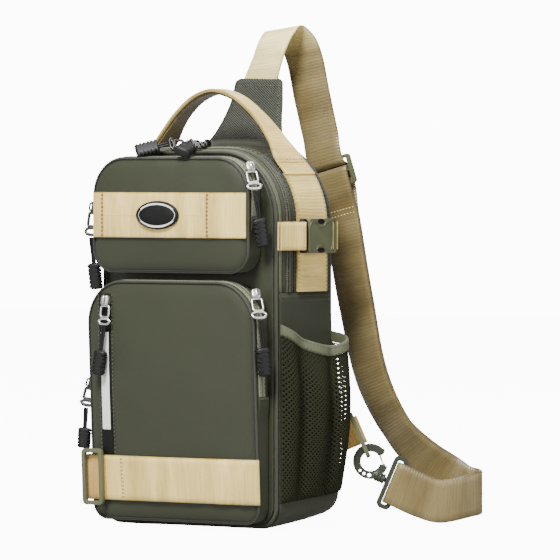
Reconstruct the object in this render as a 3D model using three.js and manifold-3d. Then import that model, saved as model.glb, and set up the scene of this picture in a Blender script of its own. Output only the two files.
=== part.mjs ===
// A sling bag with two front pockets, a mesh side pocket, a carry handle and a webbing strap.
// Millimetres. X runs to the right of the front, Y to the back, Z up. The pieces are placed from the
// middle of the base, and the whole bag is then moved so that the point that it hangs from is the origin.
import * as THREE from "three";
import { mergeVertices } from "three/addons/utils/BufferGeometryUtils.js";
import Module from "manifold-3d";

const wasm = await Module();
wasm.setup();

// Driving dimensions
const SEAT = 0.3; // gap between pieces that touch
const MAIN = { centre: -2, half: 96, front: -42, rear: 42, topFront: 330, topRear: 341, rearRise: 11,
  rTop: 60, rTopRear: 76,
  rBottom: 20, belly: 8, bellyFrom: 190, bellyTo: 70 };
const UPPER = { centre: -7.5, half: 84.5, bottom: 223.6, top: 323.6, rTop: 33, rBottom: 20 };
const UPPER_FRONT = -63;
const LOWER = { centre: -5.2, half: 90.2, bottom: 5, top: 215, rTop: 38, rBottom: 14 };
const LOWER_DEPTH = { foot: 16, head: 26 }; // how far the lower pocket stands out at its foot and its head
const CROWN = 2.8; // how far a pocket's face swells
const CLOTH = 2; // thickness of the coated cloth
const PADDING = 4; // thickness of the back panel
const PIPING = 1.6; // radius of the piping
const WEBBING = 1.6; // thickness of the webbing
const BAND = 40; // width of the front bands
const SIDE_WEB = { from: -14, to: 31 }; // the side webbing's edges
const SIDE_WEB_MIDDLE = (SIDE_WEB.from + SIDE_WEB.to) / 2;
const COMPRESSION = 25; // width of the compression strap
const STRAP = 38; // width of the shoulder strap
const ZIP_FOOT = 206; // the main zip ends here on both sides
const UPPER_BAND_AT = 273.5;
const LOWER_BAND_AT = 41.5;
const VIEW_TURN = THREE.MathUtils.degToRad(36); // the hook hangs in a plane turned this far from the front
const HOOK_LEAN = THREE.MathUtils.degToRad(22.7); // the hook's stem points this far below level
const HANG = new THREE.Vector3(28.2, 59, 436.6); // under the strap's crown, where the bag hangs

const COLOURS = { olive: 0x5a5d4c, darkOlive: 0x3c3f33, lightOlive: 0x6d715c, twill: 0x575849,
  grey: 0x4f4a4e,
  tan: 0xd9bf93, gold: 0xc9a463, black: 0x222222, white: 0xecebe6, steel: 0xb8b8ba, plastic: 0x646a55 };

const bag = new THREE.Group();
bag.position.copy(HANG).negate();
const V = (x, y, z) => new THREE.Vector3(x, y, z);
const radians = THREE.MathUtils.degToRad;
const range = (count) => Array.from({ length: count }, (_, i) => i);
const steps = (from, to, count) => range(count + 1).map((i) => from + ((to - from) * i) / count);

function add(name, geometry, colour, roughness = 0.8, metalness = 0, parent = bag) {
  const mesh = new THREE.Mesh(geometry, new THREE.MeshStandardMaterial({ color: colour, roughness,
    metalness }));
  mesh.name = name;
  parent.add(mesh);
  return mesh;
}

// A closed mesh from points and triangles, with its faces turned outwards.
function solid(points, triangles) {
  let volume = 0;
  for (const [a, b, c] of triangles) volume += points[a].dot(V(0, 0, 0).crossVectors(points[b], points[c]));
  const index = triangles.flatMap(([a, b, c]) => (volume < 0 ? [a, c, b] : [a, b, c]));
  const geometry = new THREE.BufferGeometry();
  geometry.setAttribute("position", new THREE.Float32BufferAttribute(points.flatMap((p) => p.toArray()),
    3));
  geometry.setIndex(index);
  return geometry;
}

// A wall between two grids of points, outer[row][column] and inner[row][column]; a ring joins its last row
// to its first.
function wall(outer, inner, ring = false) {
  const rows = outer.length;
  const columns = outer[0].length;
  const points = [...outer.flat(), ...inner.flat()];
  const at = (side, row, column) => side * rows * columns + (row % rows) * columns + column;
  const triangles = [];
  const quad = (a, b, c, d) => triangles.push([a, b, c], [a, c, d]);
  const spans = ring ? rows : rows - 1;
  for (let r = 0; r < spans; r++) {
    for (let c = 0; c < columns - 1; c++) {
      quad(at(0, r, c), at(0, r, c + 1), at(0, r + 1, c + 1), at(0, r + 1, c));
      quad(at(1, r, c), at(1, r + 1, c), at(1, r + 1, c + 1), at(1, r, c + 1));
    }
    quad(at(0, r, 0), at(0, r + 1, 0), at(1, r + 1, 0), at(1, r, 0));
    const last = columns - 1;
    quad(at(0, r, last), at(1, r, last), at(1, r + 1, last), at(0, r + 1, last));
  }
  if (!ring) {
    for (let c = 0; c < columns - 1; c++) {
      quad(at(0, 0, c), at(1, 0, c), at(1, 0, c + 1), at(0, 0, c + 1));
      const end = rows - 1;
      quad(at(0, end, c), at(0, end, c + 1), at(1, end, c + 1), at(1, end, c));
    }
  }
  return solid(points, triangles);
}

// A bar through rings of points; a closed one joins its last ring to its first, an open one has flat ends.
function sweep(rings, closed = false) {
  const sides = rings[0].length;
  const points = rings.flat();
  const triangles = [];
  const at = (ring, side) => (ring % rings.length) * sides + (side % sides);
  for (let r = 0; r < (closed ? rings.length : rings.length - 1); r++) {
    for (let s = 0; s < sides; s++) {
      triangles.push([at(r, s), at(r, s + 1), at(r + 1, s + 1)],
        [at(r, s), at(r + 1, s + 1), at(r + 1, s)]);
    }
  }
  if (!closed) {
    for (let s = 1; s < sides - 1; s++) {
      triangles.push([at(0, 0), at(0, s + 1), at(0, s)]);
      triangles.push([at(rings.length - 1, 0), at(rings.length - 1, s), at(rings.length - 1, s + 1)]);
    }
  }
  return solid(points, triangles);
}

// Spots on an outline with round corners: on a side at a height, or on an upper or lower corner at an angle
// from the side.
const side = (hand, z) => ({ hand, z });
const upper = (hand, degrees) => ({ hand, upper: degrees });
const lower = (hand, degrees) => ({ hand, lower: degrees });
const CORNER = steps(0, 90, 5);
const BACK_CORNER = [...CORNER].reverse();

// How much of the belly shows at a height
const bellyShare = (z) => THREE.MathUtils.smoothstep(MAIN.bellyFrom - z, 0, MAIN.bellyFrom - MAIN.bellyTo);

function edge(outline, inset, spot) {
  const belly = "upper" in spot ? 0 : (outline.belly ?? 0) * ("z" in spot ? bellyShare(spot.z) : 1);
  const half = outline.half + belly - inset;
  if ("z" in spot) return [outline.centre + spot.hand * half, spot.z];
  const isUpper = "upper" in spot;
  const radius = (isUpper ? outline.rTop : outline.rBottom) - inset;
  const angle = radians(isUpper ? spot.upper : spot.lower);
  const x = outline.centre + spot.hand * (half - radius + radius * Math.cos(angle));
  const drop = radius - radius * Math.sin(angle);
  return [x, isUpper ? outline.top - inset - drop : outline.bottom + inset + drop];
}

const archSpots = (rightFoot, leftFoot) => [side(1, rightFoot), ...CORNER.map((a) => upper(1, a)),
  ...BACK_CORNER.map((a) => upper(-1, a)), side(-1, leftFoot)];
const SIDE_ROWS = [160, 125, 90, 60];
const cradleSpots = (head) => [side(1, head), ...SIDE_ROWS.map((z) => side(1, z)),
  ...CORNER.map((a) => lower(1, a)),
  ...BACK_CORNER.map((a) => lower(-1, a)), ...[...SIDE_ROWS].reverse().map((z) => side(-1, z)),
    side(-1, head)];
const LOOP = [...CORNER.map((a) => upper(1, a)), ...BACK_CORNER.map((a) => upper(-1, a)),
  ...CORNER.map((a) => lower(-1, a)), ...BACK_CORNER.map((a) => lower(1, a))];
const MAIN_LOOP = [...CORNER.map((a) => upper(1, a)), ...BACK_CORNER.map((a) => upper(-1, a)),
  ...SIDE_ROWS.map((z) => side(-1, z)),
  ...CORNER.map((a) => lower(-1, a)), ...BACK_CORNER.map((a) => lower(1, a)),
    ...[...SIDE_ROWS].reverse().map((z) => side(1, z))];

// The main body's outline at a depth: its top rises to the back, and its base lifts there.
function mainAt(y) {
  const back = (y - MAIN.front) / (MAIN.rear - MAIN.front);
  return { centre: MAIN.centre, half: MAIN.half, rBottom: MAIN.rBottom,
    belly: MAIN.belly * Math.max(back, 0),
    rTop: THREE.MathUtils.lerp(MAIN.rTop, MAIN.rTopRear, back),
    top: THREE.MathUtils.lerp(MAIN.topFront, MAIN.topRear, back),
      bottom: MAIN.rearRise * Math.pow(Math.max(back, 0), 1.5) };
}

// A strip of cloth along an outline. depths gives its columns at a height, out and under its two faces'
// insets.
function strip(outlineAt, spots, depths, out, under, ring = false) {
  const grid = (inset) => spots.map((spot) => {
    const height = edge(outlineAt(0), 0, spot)[1];
    return depths(height).map((y, column) => {
      const [x, z] = edge(outlineAt(y), typeof inset === "function" ? inset(column) : inset, spot);
      return V(x, y, z);
    });
  });
  return wall(grid(out), grid(under), ring);
}

// A panel inside an outline, with a front surface given as a depth over x and z.
const PANEL_COLUMNS = [-1, -0.7, -0.35, 0, 0.35, 0.7, 1];
const FLAT_COLUMNS = [-1, 0, 1];
function panel(outline, inset, front, thickness, columns = PANEL_COLUMNS) {
  const ends = [...BACK_CORNER.map((a) => lower(1, a)), ...CORNER.map((a) => upper(1, a))].map((s) =>
    edge(outline, inset, s));
  const low = ends[CORNER.length - 1];
  const high = ends[CORNER.length];
  const between = steps(0, 1, 6).slice(1, -1).map((u) => edge(outline, inset, side(1, low[1]
    + (high[1] - low[1]) * u)));
  const rows = [...ends.slice(0, CORNER.length), ...between, ...ends.slice(CORNER.length)];
  const grid = (lift) => rows.map(([x, z]) => columns.map((u) => {
    const across = outline.centre + u * (x - outline.centre);
    return V(across, front(across, z) + lift, z);
  }));
  return wall(grid(0), grid(thickness));
}

function crown(outline, x, z) {
  const u = (x - outline.centre) / outline.half;
  const v = (2 * z - outline.top - outline.bottom) / (outline.top - outline.bottom);
  return CROWN * Math.max(0, 1 - u * u) * Math.max(0, 1 - v * v);
}
const upperFace = (x, z) => UPPER_FRONT - crown(UPPER, x, z);
const lowerFront = (z) => {
  const up = (z - LOWER.bottom) / (LOWER.top - LOWER.bottom);
  return MAIN.front - THREE.MathUtils.lerp(LOWER_DEPTH.foot, LOWER_DEPTH.head, up);
};
const lowerFace = (x, z) => lowerFront(z) - crown(LOWER, x, z);

// A flat piece laid on a pocket's face.
function overlay(face, x0, x1, z0, z1, thickness) {
  const grid = (lift) => steps(x0, x1, 8).map((x) => steps(z0, z1, 3).map((z) => V(x, face(x, z) - lift,
    z)));
  return wall(grid(SEAT + thickness), grid(SEAT));
}

// A webbing of rows {at, across, width, thick}: across points along its width.
function ribbon(rows) {
  const grid = (hand) => rows.map((row, i) => {
    const ahead = rows[Math.min(i + 1, rows.length - 1)].at;
    const behind = rows[Math.max(i - 1, 0)].at;
    const normal = ahead.clone().sub(behind).cross(row.across).normalize();
    const middle = row.at.clone().addScaledVector(normal, (hand * row.thick) / 2);
    return [-0.5, 0.5].map((half) => middle.clone().addScaledVector(row.across, half * row.width));
  });
  return wall(grid(1), grid(-1));
}

// A webbing that stands on edge along a path of points.
const standing = (points, across, width, thick) => ribbon(points.map((at) => ({ at, across, width,
  thick })));

// Round turns about a bar: points at a radius between two angles in the plane of two directions.
const turns = (centre, one, two, radius, from, to, count) =>
  steps(from, to, count).map((degrees) => centre.clone()
  .addScaledVector(one, radius * Math.cos(radians(degrees)))
    .addScaledVector(two, radius * Math.sin(radians(degrees))));

// Flat plates and rings, drawn in a plane and given a thickness about it
function roundedRect(width, height, radius, path = new THREE.Shape()) {
  const [w, h] = [width / 2, height / 2];
  path.moveTo(w, -h + radius);
  path.lineTo(w, h - radius);
  path.absarc(w - radius, h - radius, radius, 0, Math.PI / 2);
  path.lineTo(-w + radius, h);
  path.absarc(-w + radius, h - radius, radius, Math.PI / 2, Math.PI);
  path.lineTo(-w, -h + radius);
  path.absarc(-w + radius, -h + radius, radius, Math.PI, 1.5 * Math.PI);
  path.lineTo(w - radius, -h);
  path.absarc(w - radius, -h + radius, radius, 1.5 * Math.PI, 2 * Math.PI);
  return path;
}
function plate(shape, thickness, curveSegments = 3) {
  const geometry = new THREE.ExtrudeGeometry(shape, { depth: thickness, bevelEnabled: false,
    curveSegments });
  return geometry.translate(0, 0, -thickness / 2);
}
function holed(shape, ...holes) {
  for (const { x, y, width, height, radius } of holes) {
    const hole = roundedRect(width, height, radius, new THREE.Path());
    shape.holes.push(new THREE.Path(hole.getPoints(3).map((p) => p.clone()
      .add(new THREE.Vector2(x, y))).reverse()));
  }
  return shape;
}

// Joins and cuts
function toManifold(geometry) {
  const bare = geometry.clone();
  bare.deleteAttribute("normal");
  bare.deleteAttribute("uv");
  const merged = mergeVertices(bare, 1e-4);
  const mesh = new wasm.Mesh({ numProp: 3,
    vertProperties: new Float32Array(merged.attributes.position.array),
    triVerts: new Uint32Array(merged.index.array) });
  return new wasm.Manifold(mesh);
}
function fromManifold(manifold) {
  const mesh = manifold.getMesh();
  const geometry = new THREE.BufferGeometry();
  geometry.setAttribute("position", new THREE.Float32BufferAttribute(mesh.vertProperties, 3));
  geometry.setIndex(new THREE.Uint32BufferAttribute(mesh.triVerts, 1));
  return geometry;
}

// Main body: front panel, padded back, gusset in four strips and piping round both panels
const PANEL_INSET = 2 * PIPING + SEAT + 0.9;
const GUSSET = { front: MAIN.front + 2 * PIPING + 2 * SEAT, rear: MAIN.rear - PADDING - 2 * SEAT };
const ZIP = { from: -33.5, to: -17, coil: 1.6 };
const ZIP_MIDDLE = (ZIP.from + ZIP.to) / 2;
const coilColumns = (from, to, half) => {
  const middle = (from + to) / 2;
  return [from, middle - half - 0.6, middle - half, middle + half, middle + half + 0.6, to];
};
const isCoil = (column) => column === 2 || column === 3;
add("main_front_panel", panel(mainAt(MAIN.front), PANEL_INSET, () => MAIN.front, CLOTH, FLAT_COLUMNS),
  COLOURS.olive);
add("back_panel", panel(mainAt(MAIN.rear), PANEL_INSET, () => MAIN.rear - PADDING, PADDING, FLAT_COLUMNS),
  COLOURS.grey);
const mainStrip = (spots, depths, out = 0) => strip(mainAt, spots, () => depths, out, CLOTH);
const zipArch = archSpots(ZIP_FOOT + SEAT, ZIP_FOOT + SEAT);
add("gusset_lower", mainStrip(cradleSpots(ZIP_FOOT), [GUSSET.front, -20, 0, 20, GUSSET.rear]),
  COLOURS.olive);
add("gusset_front", mainStrip(zipArch, [GUSSET.front, ZIP.from - SEAT]), COLOURS.lightOlive);
add("gusset_rear", mainStrip(zipArch, [ZIP.to + SEAT, SIDE_WEB.from, SIDE_WEB_MIDDLE, SIDE_WEB.to,
  GUSSET.rear]), COLOURS.olive);
add("main_zip", mainStrip(zipArch, coilColumns(ZIP.from, ZIP.to, ZIP.coil),
  (c) => (isCoil(c) ? -0.6 : 0.5)), COLOURS.darkOlive);

function piping(y) {
  const inset = PIPING + SEAT;
  const rings = MAIN_LOOP.map((spot) => {
    const [x, z] = edge(mainAt(y), inset, spot);
    const [ox, oz] = edge(mainAt(y), inset - 1, spot);
    const outward = V(ox - x, 0, oz - z).normalize();
    return turns(V(x, y, z), outward, V(0, 1, 0), PIPING, 0, 300, 5);
  });
  return sweep(rings, true);
}
add("front_piping", piping(MAIN.front + PIPING + SEAT), COLOURS.lightOlive);
add("back_piping", piping(GUSSET.rear + SEAT + PIPING), COLOURS.darkOlive);

// Pockets: a crowned face, a gusset round it and a zip over the top of the gusset
const POCKET_REAR = MAIN.front - SEAT;
const FACE = 1.8;
const upperRim = UPPER_FRONT + FACE + SEAT;
const lowerRim = (z) => lowerFront(z) + FACE + SEAT;
const pocketZip = (c) => (isCoil(c) ? -2.1 : -1.3);
add("upper_face", panel(UPPER, 0, upperFace, FACE), COLOURS.olive);
add("upper_gusset", strip(() => UPPER, LOOP, () => [upperRim, POCKET_REAR], 0, CLOTH, true), COLOURS.olive);
add("upper_zip", strip(() => UPPER, archSpots(268, 262), () => coilColumns(-57, -47.5, 1.4), pocketZip,
  -SEAT), COLOURS.darkOlive);
add("lower_face", panel(LOWER, 0, lowerFace, FACE), COLOURS.olive);
add("lower_gusset", strip(() => LOWER, LOOP, (z) => [lowerRim(z), POCKET_REAR], 0, CLOTH, true),
  COLOURS.olive);
const lowerZipDepths = (z) => coilColumns(lowerRim(z) + 4, lowerRim(z) + 13.5, 1.4);
add("lower_zip", strip(() => LOWER, archSpots(111, 108), lowerZipDepths, pocketZip, -SEAT),
  COLOURS.darkOlive);
const SLIT = { from: -80.6, to: -68.4, foot: 66, head: 204 };
const SLIT_TAPE = 1;
add("slit_tape", overlay(lowerFace, SLIT.from, SLIT.to, SLIT.foot, SLIT.head, SLIT_TAPE), COLOURS.black,
  0.6);
const overTape = (x, z) => lowerFace(x, z) - SEAT - SLIT_TAPE;
add("slit_strip", overlay(overTape, SLIT.from + 1.5, SLIT.to - 1.5, 84, 170, 0.6), COLOURS.white, 0.5);

// Webbing bands over the pockets, the badge on the upper one and the ring at the lower one's left end
const upperBandEnds = [UPPER.centre - UPPER.half + 0.6, UPPER.centre + UPPER.half - 0.6];
add("upper_band", overlay(upperFace, ...upperBandEnds, UPPER_BAND_AT - BAND / 2, UPPER_BAND_AT + BAND / 2,
  WEBBING), COLOURS.tan);
const BADGE = { x: -14, width: 46, height: 25, thick: 2.4 };
const badgeShape = new THREE.Shape().absellipse(0, 0, BADGE.width / 2, BADGE.height / 2, 0, 2 * Math.PI);
const badge = add("badge", plate(badgeShape, BADGE.thick, 12), COLOURS.black, 0.5);
badge.rotation.x = Math.PI / 2;
badge.position.set(BADGE.x, upperFace(BADGE.x, UPPER_BAND_AT) - SEAT - WEBBING - SEAT - BADGE.thick / 2,
  UPPER_BAND_AT);

const RING = { x: -88.6, y: -67.5, z: 42, width: 22.4, height: 50, bar: 3.6 };
const ringShape = (width, height, bar) => holed(roundedRect(width, height, bar * 1.2),
  { x: 0, y: 0, width: width - 2 * bar, height: height - 2 * bar, radius: 1.5 });
const bandRing = add("band_ring", plate(ringShape(RING.width, RING.height, RING.bar), RING.bar),
  COLOURS.plastic, 0.5);
const ringLean = Math.atan((LOWER_DEPTH.head - LOWER_DEPTH.foot) / (LOWER.top - LOWER.bottom));
bandRing.rotation.x = Math.PI / 2 + ringLean;
bandRing.position.set(RING.x, RING.y, RING.z);
const UP = V(0, 0, 1);
const leaning = V(0, lowerFront(1) - lowerFront(0), 1).normalize();
const rightBar = V(RING.x + (RING.width - RING.bar) / 2, RING.y, LOWER_BAND_AT);
const leftBar = V(RING.x - (RING.width - RING.bar) / 2, RING.y, RING.z);
const ROUND_BAR = RING.bar * 0.72 + SEAT + WEBBING / 2;
const onLower = (x, lift) => V(x, lowerFace(x, LOWER_BAND_AT) - lift, LOWER_BAND_AT);
const bandPath = [...[84, 60, 32, 2, -28, -52].map((x) => onLower(x, 1.5)), onLower(-64, 5),
  ...turns(rightBar, V(1, 0, 0), V(0, 1, 0), ROUND_BAR, 270, 90, 6),
    V(rightBar.x + 11, rightBar.y + 3, LOWER_BAND_AT)];
add("lower_band", standing(bandPath, leaning, BAND, WEBBING), COLOURS.tan);
const loopPath = [V(-97.4, -44, RING.z), V(-97.2, -60, RING.z),
  ...turns(leftBar, V(1, 0, 0), V(0, 1, 0), ROUND_BAR, 30, -180, 7), V(-101.4, -58, RING.z),
    V(-100.2, -45, RING.z)];
add("ring_loop_front", standing(loopPath, leaning, BAND, WEBBING), COLOURS.gold);

// Side webbing on the gusset, running up into the carry handle, which is folded narrow in the middle
const WEB_ANGLES = [0, 18, 36, 39]; // the side webbing leaves the upper corner at the last angle
const sideWeb = (hand) => strip(mainAt, [side(hand, ZIP_FOOT + 2 * SEAT), ...WEB_ANGLES.map((a) =>
  upper(hand, a))],
  () => [SIDE_WEB.from, SIDE_WEB_MIDDLE, SIDE_WEB.to], -SEAT - WEBBING, -SEAT);
add("side_web_right", sideWeb(1), COLOURS.tan);
add("side_web_left", sideWeb(-1), COLOURS.tan);
const HANDLE = [
  { out: 80, z: 312.8, y: 8.5, width: 45, thick: 1.6 },
  { out: 70.5, z: 326, y: 7.5, width: 45, thick: 1.6 },
  { out: 63, z: 337.5, y: 6.5, width: 43, thick: 1.6 },
  { out: 52, z: 352, y: 4.5, width: 36, thick: 2 },
  { out: 40, z: 364.5, y: 2.5, width: 27, thick: 2.8 },
  { out: 22, z: 377.5, y: 1, width: 21, thick: 3.4 },
  { out: 0, z: 383.5, y: 0, width: 20, thick: 3.6 },
];
const handleRow = (hand) => ({ out, z, y, width, thick }) =>
  ({ at: V(MAIN.centre + hand * out, y, z), across: V(0, 1, 0), width, thick });
const handleEnds = [...HANDLE.map(handleRow(1)), ...HANDLE.slice(0, -1).reverse().map(handleRow(-1))];
add("carry_handle", ribbon(smooth(handleEnds, 20)), COLOURS.tan);

// Rows of a webbing taken smoothly through a few given ones.
function smooth(rows, count) {
  const path = new THREE.CatmullRomCurve3(rows.map((row) => row.at), false, "centripetal");
  return range(count + 1).map((i) => {
    const u = (i / count) * (rows.length - 1);
    const before = rows[Math.min(Math.floor(u), rows.length - 2)];
    const after = rows[Math.min(Math.floor(u), rows.length - 2) + 1];
    const part = u - Math.min(Math.floor(u), rows.length - 2);
    return { at: path.getPoint(i / count), across: before.across.clone().lerp(after.across,
      part).normalize(),
      width: THREE.MathUtils.lerp(before.width, after.width, part),
        thick: THREE.MathUtils.lerp(before.thick, after.thick, part) };
  });
}

// Compression strap with its side-release buckle, over the main zip and the side webbing
const BUCKLE = { z: 255.5, height: 30, from: -9.4, to: 31.8, plugFrom: -17.3, inside: 98.3,
  outside: 105.4 };
const buckleMiddle = (BUCKLE.inside + BUCKLE.outside) / 2;
const SLOT = { plugFrom: -14.5, plugTo: -11.6, from: 25.7, to: 28.6, height: COMPRESSION + 1.4 };
// An outline in depth and height, with its depth running along the drawing's x.
function sidePlate(name, from, to, thickness, slotFrom, slotTo, notch) {
  const shape = holed(roundedRect(to - from, BUCKLE.height, 3),
    { x: (slotFrom + slotTo - from - to) / 2, y: 0, width: slotTo - slotFrom, height: SLOT.height,
      radius: 1 });
  let geometry = plate(shape, thickness);
  if (notch) {
    const cutters = [-1, 1].map((hand) => new THREE.CylinderGeometry(notch.radius, notch.radius,
      2 * thickness, 12)
      .rotateX(Math.PI / 2).translate(notch.along, (hand * BUCKLE.height) / 2, 0));
    let body = toManifold(geometry);
    for (const cutter of cutters) body = body.subtract(toManifold(cutter));
    geometry = fromManifold(body);
  }
  const mesh = add(name, geometry, COLOURS.plastic, 0.5);
  mesh.quaternion.setFromRotationMatrix(new THREE.Matrix4().makeBasis(V(0, 1, 0), V(0, 0, 1), V(1, 0, 0)));
  mesh.position.set(buckleMiddle, (from + to) / 2, BUCKLE.z);
  return mesh;
}
sidePlate("buckle_socket", BUCKLE.from, BUCKLE.to, BUCKLE.outside - BUCKLE.inside, SLOT.from, SLOT.to,
  { along: -3, radius: 4.2 });
sidePlate("buckle_plug", BUCKLE.plugFrom, BUCKLE.from - SEAT, 4, SLOT.plugFrom, SLOT.plugTo, null);
const sideAt = (x, y) => V(x, y, BUCKLE.z);
const plugSlot = (SLOT.plugFrom + SLOT.plugTo) / 2;
const frontPath = [sideAt(95.2, MAIN.front), sideAt(95.4, -30), sideAt(97, -24), sideAt(97.6, -19),
  sideAt(97.9, plugSlot - 1.6),
  sideAt(99.4, plugSlot), sideAt(103.6, plugSlot), sideAt(104.9, plugSlot - 1.6), sideAt(105, -17.7),
    sideAt(103, -20),
  sideAt(100.2, -23), sideAt(99.2, -28)];
add("compress_front", standing(frontPath, UP, COMPRESSION, 1.3), COLOURS.tan);
const rearSlot = (SLOT.from + SLOT.to) / 2;
const rearPath = [sideAt(97.6, 43), sideAt(98.6, 37), sideAt(100.6, 33.8), sideAt(104, 33.4),
  sideAt(106.2, 32.4), sideAt(106.6, 30),
  sideAt(106, rearSlot + 0.8), sideAt(104.4, rearSlot), sideAt(98, rearSlot), sideAt(97.2, rearSlot + 1.6),
    sideAt(97.1, 32.4), sideAt(95.8, 38), sideAt(95.3, 42)];
add("compress_rear", standing(rearPath, UP, COMPRESSION, 1.3), COLOURS.tan);

// Mesh side pocket: sections by height, bulging to the back, with two standing folds
const MESH = { front: -38, rear: 37, thick: 1.2 };
const MESH_SECTIONS = [
  { up: 0, bulge: 0.6 }, { up: 0.02, bulge: 9 }, { up: 0.12, bulge: 13.5 }, { up: 0.3, bulge: 18.5 },
    { up: 0.5, bulge: 22.5 },
  { up: 0.7, bulge: 25 }, { up: 0.86, bulge: 25 }, { up: 1, bulge: 24 },
];
const MESH_ACROSS = [
  { u: 0, out: 0.01 }, { u: 0.12, out: 0.26 }, { u: 0.28, out: 0.3 }, { u: 0.42, out: 0.6 },
    { u: 0.54, out: 0.74 },
  { u: 0.63, out: 0.72 }, { u: 0.74, out: 0.95 }, { u: 0.86, out: 1 }, { u: 0.95, out: 0.66 },
    { u: 1, out: 0.02 },
];
const HEM = 9.6;
const hemFoot = (u) => 169 - 19 * Math.sin(Math.PI * Math.min(1, u * 0.78)) + 14 * Math.max(0, u - 0.66);
const meshFoot = (u) => 22.5 + 7 * u;
const depthAt = (u) => THREE.MathUtils.lerp(MESH.front, MESH.rear, u);
const meshPoint = ({ u, out }, bulge, z, lift) => {
  const wallAt = edge(mainAt(depthAt(u)), 0, side(1, z))[0];
  return V(wallAt + SEAT + out * bulge + lift, depthAt(u), z);
};
const meshGrid = (lift) => MESH_SECTIONS.map(({ up, bulge }) => MESH_ACROSS.map((a) =>
  meshPoint(a, bulge, THREE.MathUtils.lerp(meshFoot(a.u), hemFoot(a.u), up), lift)));
add("mesh_pocket", wall(meshGrid(MESH.thick), meshGrid(0)), COLOURS.darkOlive);
const HEM_BULGE = MESH_SECTIONS[MESH_SECTIONS.length - 1].bulge;
const hemGrid = (lift) => [SEAT, HEM].map((up) => MESH_ACROSS.map((a) => meshPoint(a, HEM_BULGE,
  hemFoot(a.u) + up, lift)));
add("mesh_binding", wall(hemGrid(2), hemGrid(0)), COLOURS.lightOlive);

// Shoulder tab, sewn to the top of the back panel, and the strap that starts at its head
const TAB_THICK = 3;
const TAB = [
  { z: 322, left: -52, right: 44, y: 42.3 }, { z: 337, left: -45, right: 39, y: 42.3 },
    { z: 346, left: -37, right: 37, y: 42.8 },
  { z: 358, left: -29, right: 36, y: 43.8 }, { z: 374, left: -21, right: 36, y: 45 },
    { z: 394.4, left: -16, right: 35.4, y: 45.9 },
];
const tabGrid = (lift) => TAB.map(({ z, left, right, y }) =>
  steps(left, right, 4).map((x) => V(x, y + lift, z)));
add("shoulder_tab", wall(tabGrid(TAB_THICK), tabGrid(0)), COLOURS.twill);

// turn is the angle of the strap's width about the vertical, lift the angle that its right edge is raised
// by
const STATIONS = [
  { x: 12.1, y: 47.2, z: 395.6, turn: -8, lift: 2 },
  { x: 19.8, y: 48, z: 415.1, turn: -5, lift: 7 },
  { x: 25.3, y: 51, z: 430.1, turn: 0, lift: 8 },
  { x: 28.2, y: 59, z: 438.2, turn: 4, lift: 8 },
  { x: 35.6, y: 67, z: 429.4, turn: 5, lift: 9 },
  { x: 41.5, y: 71, z: 413.4, turn: 4, lift: 10 },
  { x: 47.9, y: 75, z: 376.9, turn: 4, lift: 11 },
  { x: 58.2, y: 79, z: 329.8, turn: 2, lift: 13 },
  { x: 64.6, y: 81.6, z: 309, turn: 0, lift: 14 },
  { x: 72.6, y: 84, z: 277, turn: 0, lift: 13 },
  { x: 86.7, y: 88, z: 197.6, turn: -2, lift: 12 },
  { x: 102.2, y: 93, z: 126.7, turn: -9, lift: 18 },
  { x: 123.7, y: 101, z: 83.5, turn: -18, lift: 24 },
  { x: 145.5, y: 110, z: 59, turn: -4, lift: 36 },
  { x: 166, y: 116.5, z: 42.6, turn: 16, lift: 58 },
  { x: 184.6, y: 119.4, z: 33, turn: 32, lift: 84 },
  { x: 196.8, y: 120.2, z: 30.5, turn: 36, lift: 90 },
  { x: 203.6, y: 112.5, z: 29, turn: 36, lift: 90 },
  { x: 201.6, y: 103.4, z: 27.5, turn: 36, lift: 90 },
  { x: 180.8, y: 81.9, z: 22, turn: 36, lift: 86 },
  { x: 165.5, y: 71.5, z: 27.5, turn: 36, lift: 74 },
];
const acrossOf = ({ turn, lift }) => V(Math.cos(radians(lift)) * Math.cos(radians(turn)),
  Math.cos(radians(lift)) * Math.sin(radians(turn)),
  Math.sin(radians(lift)));
const ADJUSTER_STATION = 8;
const rightward = V(Math.cos(VIEW_TURN), Math.sin(VIEW_TURN), 0); // along the hook's plane
const away = V(-Math.sin(VIEW_TURN), Math.cos(VIEW_TURN), 0); // square to the hook's plane
const stem = rightward.clone().multiplyScalar(Math.cos(HOOK_LEAN))
  .addScaledVector(UP, -Math.sin(HOOK_LEAN));
const barUp = rightward.clone().multiplyScalar(Math.sin(HOOK_LEAN))
  .addScaledVector(UP, Math.cos(HOOK_LEAN));
const SWIVEL = rightward.clone().multiplyScalar(146.8).addScaledVector(away, -33).addScaledVector(UP, 40.6);
const BASE = { width: 13, height: 49, bar: 4, thick: 5 };
const strapBar = SWIVEL.clone().addScaledVector(stem, BASE.width - BASE.bar / 2);
const ROUND_STRAP_BAR = 0.5 * BASE.thick * 1.25 + SEAT + WEBBING / 2;
const LAYER = WEBBING + 0.6; // between the strap's two layers

const LAYOUT = STATIONS.map((s) => ({ at: V(s.x, s.y, s.z), across: acrossOf(s), width: STRAP,
  thick: WEBBING }));
LAYOUT.push({ at: strapBar.clone().addScaledVector(away, -ROUND_STRAP_BAR), across: barUp, width: STRAP,
  thick: WEBBING });
const PER_STATION = 6;
const outerRows = smooth(LAYOUT, PER_STATION * (LAYOUT.length - 1));
const ADJUSTER_ROW = ADJUSTER_STATION * PER_STATION;
const normals = outerRows.map((row, i) => outerRows[Math.min(i + 1, outerRows.length - 1)].at.clone()
  .sub(outerRows[Math.max(i - 1, 0)].at).cross(row.across).normalize());
const along = outerRows.map(() => 0);
for (let i = 1; i < outerRows.length; i++) {
  along[i] = along[i - 1] + outerRows[i].at.distanceTo(outerRows[i - 1].at);
}
const fromAdjuster = (i) => along[i] - along[ADJUSTER_ROW];

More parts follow.
